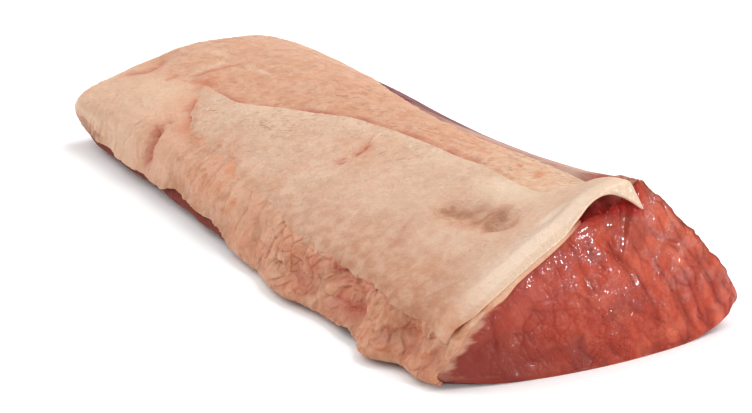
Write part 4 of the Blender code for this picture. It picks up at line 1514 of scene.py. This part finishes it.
def strewing_tree():
    """Strews small rounded shapes over a surface, as densely as one of its layers says."""
    tree = bpy.data.node_groups.new("strewn_shapes", "GeometryNodeTree")
    for name, kind, default in STREWING_INPUTS:
        socket = tree.interface.new_socket(name, in_out="INPUT", socket_type=f"NodeSocket{kind}")
        if default is not None:
            socket.default_value = default
    tree.interface.new_socket("Shapes", in_out="OUTPUT", socket_type="NodeSocketGeometry")

    def node(kind, links=(), values=(), **settings):
        return add_node(tree, kind, values, links, **settings)

    given = node("NodeGroupInput").outputs
    layer = node("GeometryNodeInputNamedAttribute", {"Name": given["Layer"]}, data_type="FLOAT")
    spots = node(
        "GeometryNodeDistributePointsOnFaces",
        {"Mesh": given["Surface"], "Distance Min": given["Spacing"],
         "Density Max": given["Most per area"], "Density Factor": layer.outputs["Attribute"]},
        {"Seed": BEAD_SEED}, distribute_method="POISSON",
    ).outputs
    shape = {"Segments": BEAD_SEGMENTS, "Rings": BEAD_RINGS, "Radius": 1.0}
    ball = node("GeometryNodeMeshUVSphere", {}, shape)
    smooth = node("GeometryNodeSetShadeSmooth", {"Geometry": ball.outputs["Mesh"]})
    sizes = []
    for seed in BEAD_SIZE_SEEDS:
        random = node("FunctionNodeRandomValue", {}, {"Seed": seed}, data_type="FLOAT")
        for key, limit in (("Min", "Smallest"), ("Max", "Largest")):
            place = [one for one in random.inputs if one.name == key and one.type == "VALUE"][0]
            tree.links.new(given[limit], place)
        sizes.append([one for one in random.outputs if one.type == "VALUE"][0])
    height = node("ShaderNodeMath", {0: sizes[0], 1: given["Flatness"]}, operation="MULTIPLY")
    size = {"X": sizes[0], "Y": sizes[1], "Z": height.outputs["Value"]}
    scale = node("ShaderNodeCombineXYZ", size)
    placed = node(
        "GeometryNodeInstanceOnPoints",
        {"Points": spots["Points"], "Instance": smooth.outputs["Geometry"],
         "Rotation": spots["Rotation"], "Scale": scale.outputs["Vector"]},
    )
    real = node("GeometryNodeRealizeInstances", {"Geometry": placed.outputs["Instances"]})
    dressed = node(
        "GeometryNodeSetMaterial",
        {"Geometry": real.outputs["Geometry"], "Material": given["Finish"]},
    )
    node("NodeGroupOutput", {"Shapes": dressed.outputs["Geometry"]})
    return tree


def strewn(name, carrier, **inputs):
    """Small shapes strewn over a finished piece, as a plain mesh of their own."""
    tree = strewing_tree()
    base = bpy.data.objects[carrier].data.copy()
    piece = linked(name, base)
    modifier = piece.modifiers.new("strewn", "NODES")
    modifier.node_group = tree
    given = [item for item in tree.interface.items_tree if item.in_out == "INPUT"]
    sockets = {item.name: item.identifier for item in given}
    for key, value in inputs.items():
        modifier[sockets[key.replace("_", " ")]] = value
    shaped = piece.evaluated_get(bpy.context.evaluated_depsgraph_get())
    mesh = bpy.data.meshes.new_from_object(shaped)
    if not mesh.polygons:
        raise RuntimeError(f"{name} has no shapes")
    piece.modifiers.remove(modifier)
    piece.data = mesh
    bpy.data.meshes.remove(base)
    for layer in [one.name for one in mesh.attributes if one.data_type.startswith("FLOAT")]:
        if layer != "position":
            mesh.attributes.remove(mesh.attributes[layer])
    mesh.name = name
    return piece


# ---------------------------------------------------------------- settings
def length(name, description, default, least=0.0):
    return bpy.props.FloatProperty(
        name=name, description=description, default=default, min=least, unit="LENGTH"
    )


def strength(name, description, default):
    return bpy.props.FloatProperty(
        name=name, description=description, default=default, min=0, subtype="FACTOR"
    )


def colour(name, description, default):
    return bpy.props.FloatVectorProperty(
        name=name, description=description, default=default, subtype="COLOR"
    )


class LoinCutSettings(bpy.types.PropertyGroup):
    """Sizes and colours of the lean."""

    seam_depth: length("Seam depth", "Depth of the seams between the muscle bundles", SEAM_DEPTH)
    lean_colour: colour("Lean", "Colour of the lean where it is deepest", (0.325, 0.0270, 0.0110))
    light_lean_colour: colour(
        "Light lean", "Colour of the lean where it is lightest", (0.435, 0.052, 0.0215)
    )
    seam_colour: colour("Seams", "Colour in the seams", (0.19, 0.011, 0.006))
    bead_size: length("Largest bead", "Radius of the largest bead of moisture", 0.0006)
    bead_spacing: length("Bead spacing", "Least distance between two beads", 0.0009)


class LoinFatSettings(bpy.types.PropertyGroup):
    """Sizes and colours of the two layers of fat."""

    wrinkle_height: length("Wrinkle height", "Height of the fine wrinkles", 0.00045)
    fold_height: length("Fold height", "Height of the folds on the near side", 0.0023)
    inner_colour: colour("Inner fat", "Colour of the pinkish inner fat", (0.62, 0.355, 0.232))
    outer_colour: colour("Outer fat", "Colour of the pale outer sheet", (0.61, 0.405, 0.285))


class LoinStageSettings(bpy.types.PropertyGroup):
    """The floor, the lights and the camera."""

    floor_colour: colour("Floor", "Colour of the floor", (0.97, 0.97, 0.97))
    key_strength: strength("Key light", "Strength of the broad soft light behind the loin", 0.68)
    glint_strength: strength(
        "Glint light", "Strength of the small light that the moist cut reflects", 0.40
    )
    ambient: strength("Ambient", "Strength of the even light from all around", 0.51)
    camera_distance: length(
        "Camera distance", "From the camera to the middle of the view", 0.925, least=0.1
    )


# ---------------------------------------------------------------- operators
def finished(piece, slot, *nodes):
    """Ties a piece to the loin and hides the solids that it stands for."""
    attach(piece, "root")
    if nodes:
        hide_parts(*nodes)
    return {"FINISHED"}


class LOIN_OT_lean(bpy.types.Operator):
    """Makes the lean muscle with its two cuts"""

    bl_idname = "loin.lean"
    bl_label = "Lean muscle"

    def execute(self, context):
        return finished(make_lean(context.scene.loin_cut), "lean", "lean_loin")


class LOIN_OT_inner_fat(bpy.types.Operator):
    """Makes the pinkish inner fat"""

    bl_idname = "loin.inner_fat"
    bl_label = "Inner fat"

    def execute(self, context):
        return finished(make_inner_fat(context.scene.loin_fat), "inner_fat", "inner_fat")


class LOIN_OT_outer_fat(bpy.types.Operator):
    """Makes the pale outer sheet with its flap"""

    bl_idname = "loin.outer_fat"
    bl_label = "Outer fat"

    def execute(self, context):
        return finished(make_outer_fat(context.scene.loin_fat), "outer_fat", "outer_fat")


class LOIN_OT_moisture(bpy.types.Operator):
    """Strews beads of moisture over the front cut"""

    bl_idname = "loin.moisture"
    bl_label = "Moisture"

    def execute(self, context):
        cut = context.scene.loin_cut
        beads = strewn(
            "moisture_beads", "lean_muscle", Layer="beaded", Most_per_area=BEADS_PER_AREA,
            Spacing=cut.bead_spacing, Smallest=SMALLEST_BEAD * cut.bead_size, Largest=cut.bead_size,
            Flatness=BEAD_FLATNESS, Finish=moisture_finish(),
        )
        return finished(beads, "lean")


def toward(azimuth, elevation):
    """The direction to a place seen at that azimuth from +X and that elevation, in degrees."""
    turn, rise = math.radians(azimuth), math.radians(elevation)
    level = math.cos(rise)
    return Vector((math.cos(turn) * level, math.sin(turn) * level, math.sin(rise)))


def soft_sun(name, azimuth, elevation, angle, power):
    """A far light with a soft edge, as bright on the floor everywhere."""
    data = bpy.data.lights.new(name, "SUN")
    data.angle = math.radians(angle)
    data.energy = power * math.pi
    turned = toward(azimuth, elevation).to_track_quat("Z", "Y")
    linked(name, data).rotation_euler = turned.to_euler()


CAMERA_AIM = Vector((0.0545, -0.0227, 0.03))
CAMERA_AZIMUTH = 60
CAMERA_ELEVATION = 20
CAMERA_LENS = 100
CAMERA_SENSOR = 36
FLOOR_HALF = 3.0

# The windows: name, azimuth, elevation and width in degrees, and share of the key light's strength
WINDOWS = [
    ("window_behind", 100, 52, 50, 1.0),
    ("window_left", 200, 45, 50, 0.30),
    ("window_near", 245, 46, 60, 0.44),
]
GLINT_PLACE = 28, 17, 5


class LOIN_OT_stage(bpy.types.Operator):
    """Makes the pale floor, the soft lights and the camera"""

    bl_idname = "loin.stage"
    bl_label = "Stage"

    def execute(self, context):
        stage = context.scene.loin_stage
        floor = Finish("pale_floor")
        floor.shader.inputs["Base Color"].default_value = (*stage.floor_colour, 1)
        floor.shader.inputs["Roughness"].default_value = 0.9
        floor.shader.inputs["Specular IOR Level"].default_value = 0.0
        mesh = bpy.data.meshes.new("floor")
        corners = [(-1, -1), (1, -1), (1, 1), (-1, 1)]
        points = [(x * FLOOR_HALF, y * FLOOR_HALF, 0) for x, y in corners]
        mesh.from_pydata(points, [], [(0, 1, 2, 3)])
        mesh.materials.append(floor.material)
        linked("floor", mesh)
        for name, azimuth, elevation, angle, share in WINDOWS:
            soft_sun(name, azimuth, elevation, angle, share * stage.key_strength)
        soft_sun("glint_light", *GLINT_PLACE, stage.glint_strength)
        world = bpy.data.worlds.new("studio")
        context.scene.world = world
        world.use_nodes = True
        backdrop = world.node_tree.nodes["Background"].inputs
        backdrop["Color"].default_value = (1, 1, 1, 1)
        backdrop["Strength"].default_value = stage.ambient
        context.scene.view_settings.view_transform = "Standard"
        lens = bpy.data.cameras.new("camera")
        lens.lens = CAMERA_LENS
        lens.sensor_width = CAMERA_SENSOR
        camera = linked("camera", lens)
        away = toward(CAMERA_AZIMUTH - 90, CAMERA_ELEVATION)
        camera.location = CAMERA_AIM + away * stage.camera_distance
        camera.rotation_euler = (-away).to_track_quat("-Z", "Y").to_euler()
        context.scene.camera = camera
        return {"FINISHED"}


OPERATORS = [
    LOIN_OT_lean, LOIN_OT_inner_fat, LOIN_OT_outer_fat, LOIN_OT_moisture, LOIN_OT_stage,
]
SETTINGS = {
    "loin_cut": LoinCutSettings, "loin_fat": LoinFatSettings, "loin_stage": LoinStageSettings,
}


class LOIN_PT_panel(bpy.types.Panel):
    """Lists the loin's pieces and their settings"""

    bl_idname = "LOIN_PT_panel"
    bl_label = "Pork Loin"
    bl_space_type = "VIEW_3D"
    bl_region_type = "UI"
    bl_category = "Pork Loin"

    def draw(self, context):
        for operator in OPERATORS:
            self.layout.operator(operator.bl_idname)
        for name, group in SETTINGS.items():
            box = self.layout.box()
            for key in group.__annotations__:
                box.prop(getattr(context.scene, name), key)


def register():
    for made in [*SETTINGS.values(), *OPERATORS, LOIN_PT_panel]:
        bpy.utils.register_class(made)
    for name, group in SETTINGS.items():
        setattr(bpy.types.Scene, name, bpy.props.PointerProperty(type=group))


def unregister():
    for name in SETTINGS:
        delattr(bpy.types.Scene, name)
    for made in reversed([*SETTINGS.values(), *OPERATORS, LOIN_PT_panel]):
        bpy.utils.unregister_class(made)


def main():
    register()
    bpy.ops.loin.lean()
    bpy.ops.loin.inner_fat()
    bpy.ops.loin.outer_fat()
    bpy.ops.loin.moisture()
    bpy.ops.loin.stage()
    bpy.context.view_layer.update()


if __name__ == "__main__":
    main()
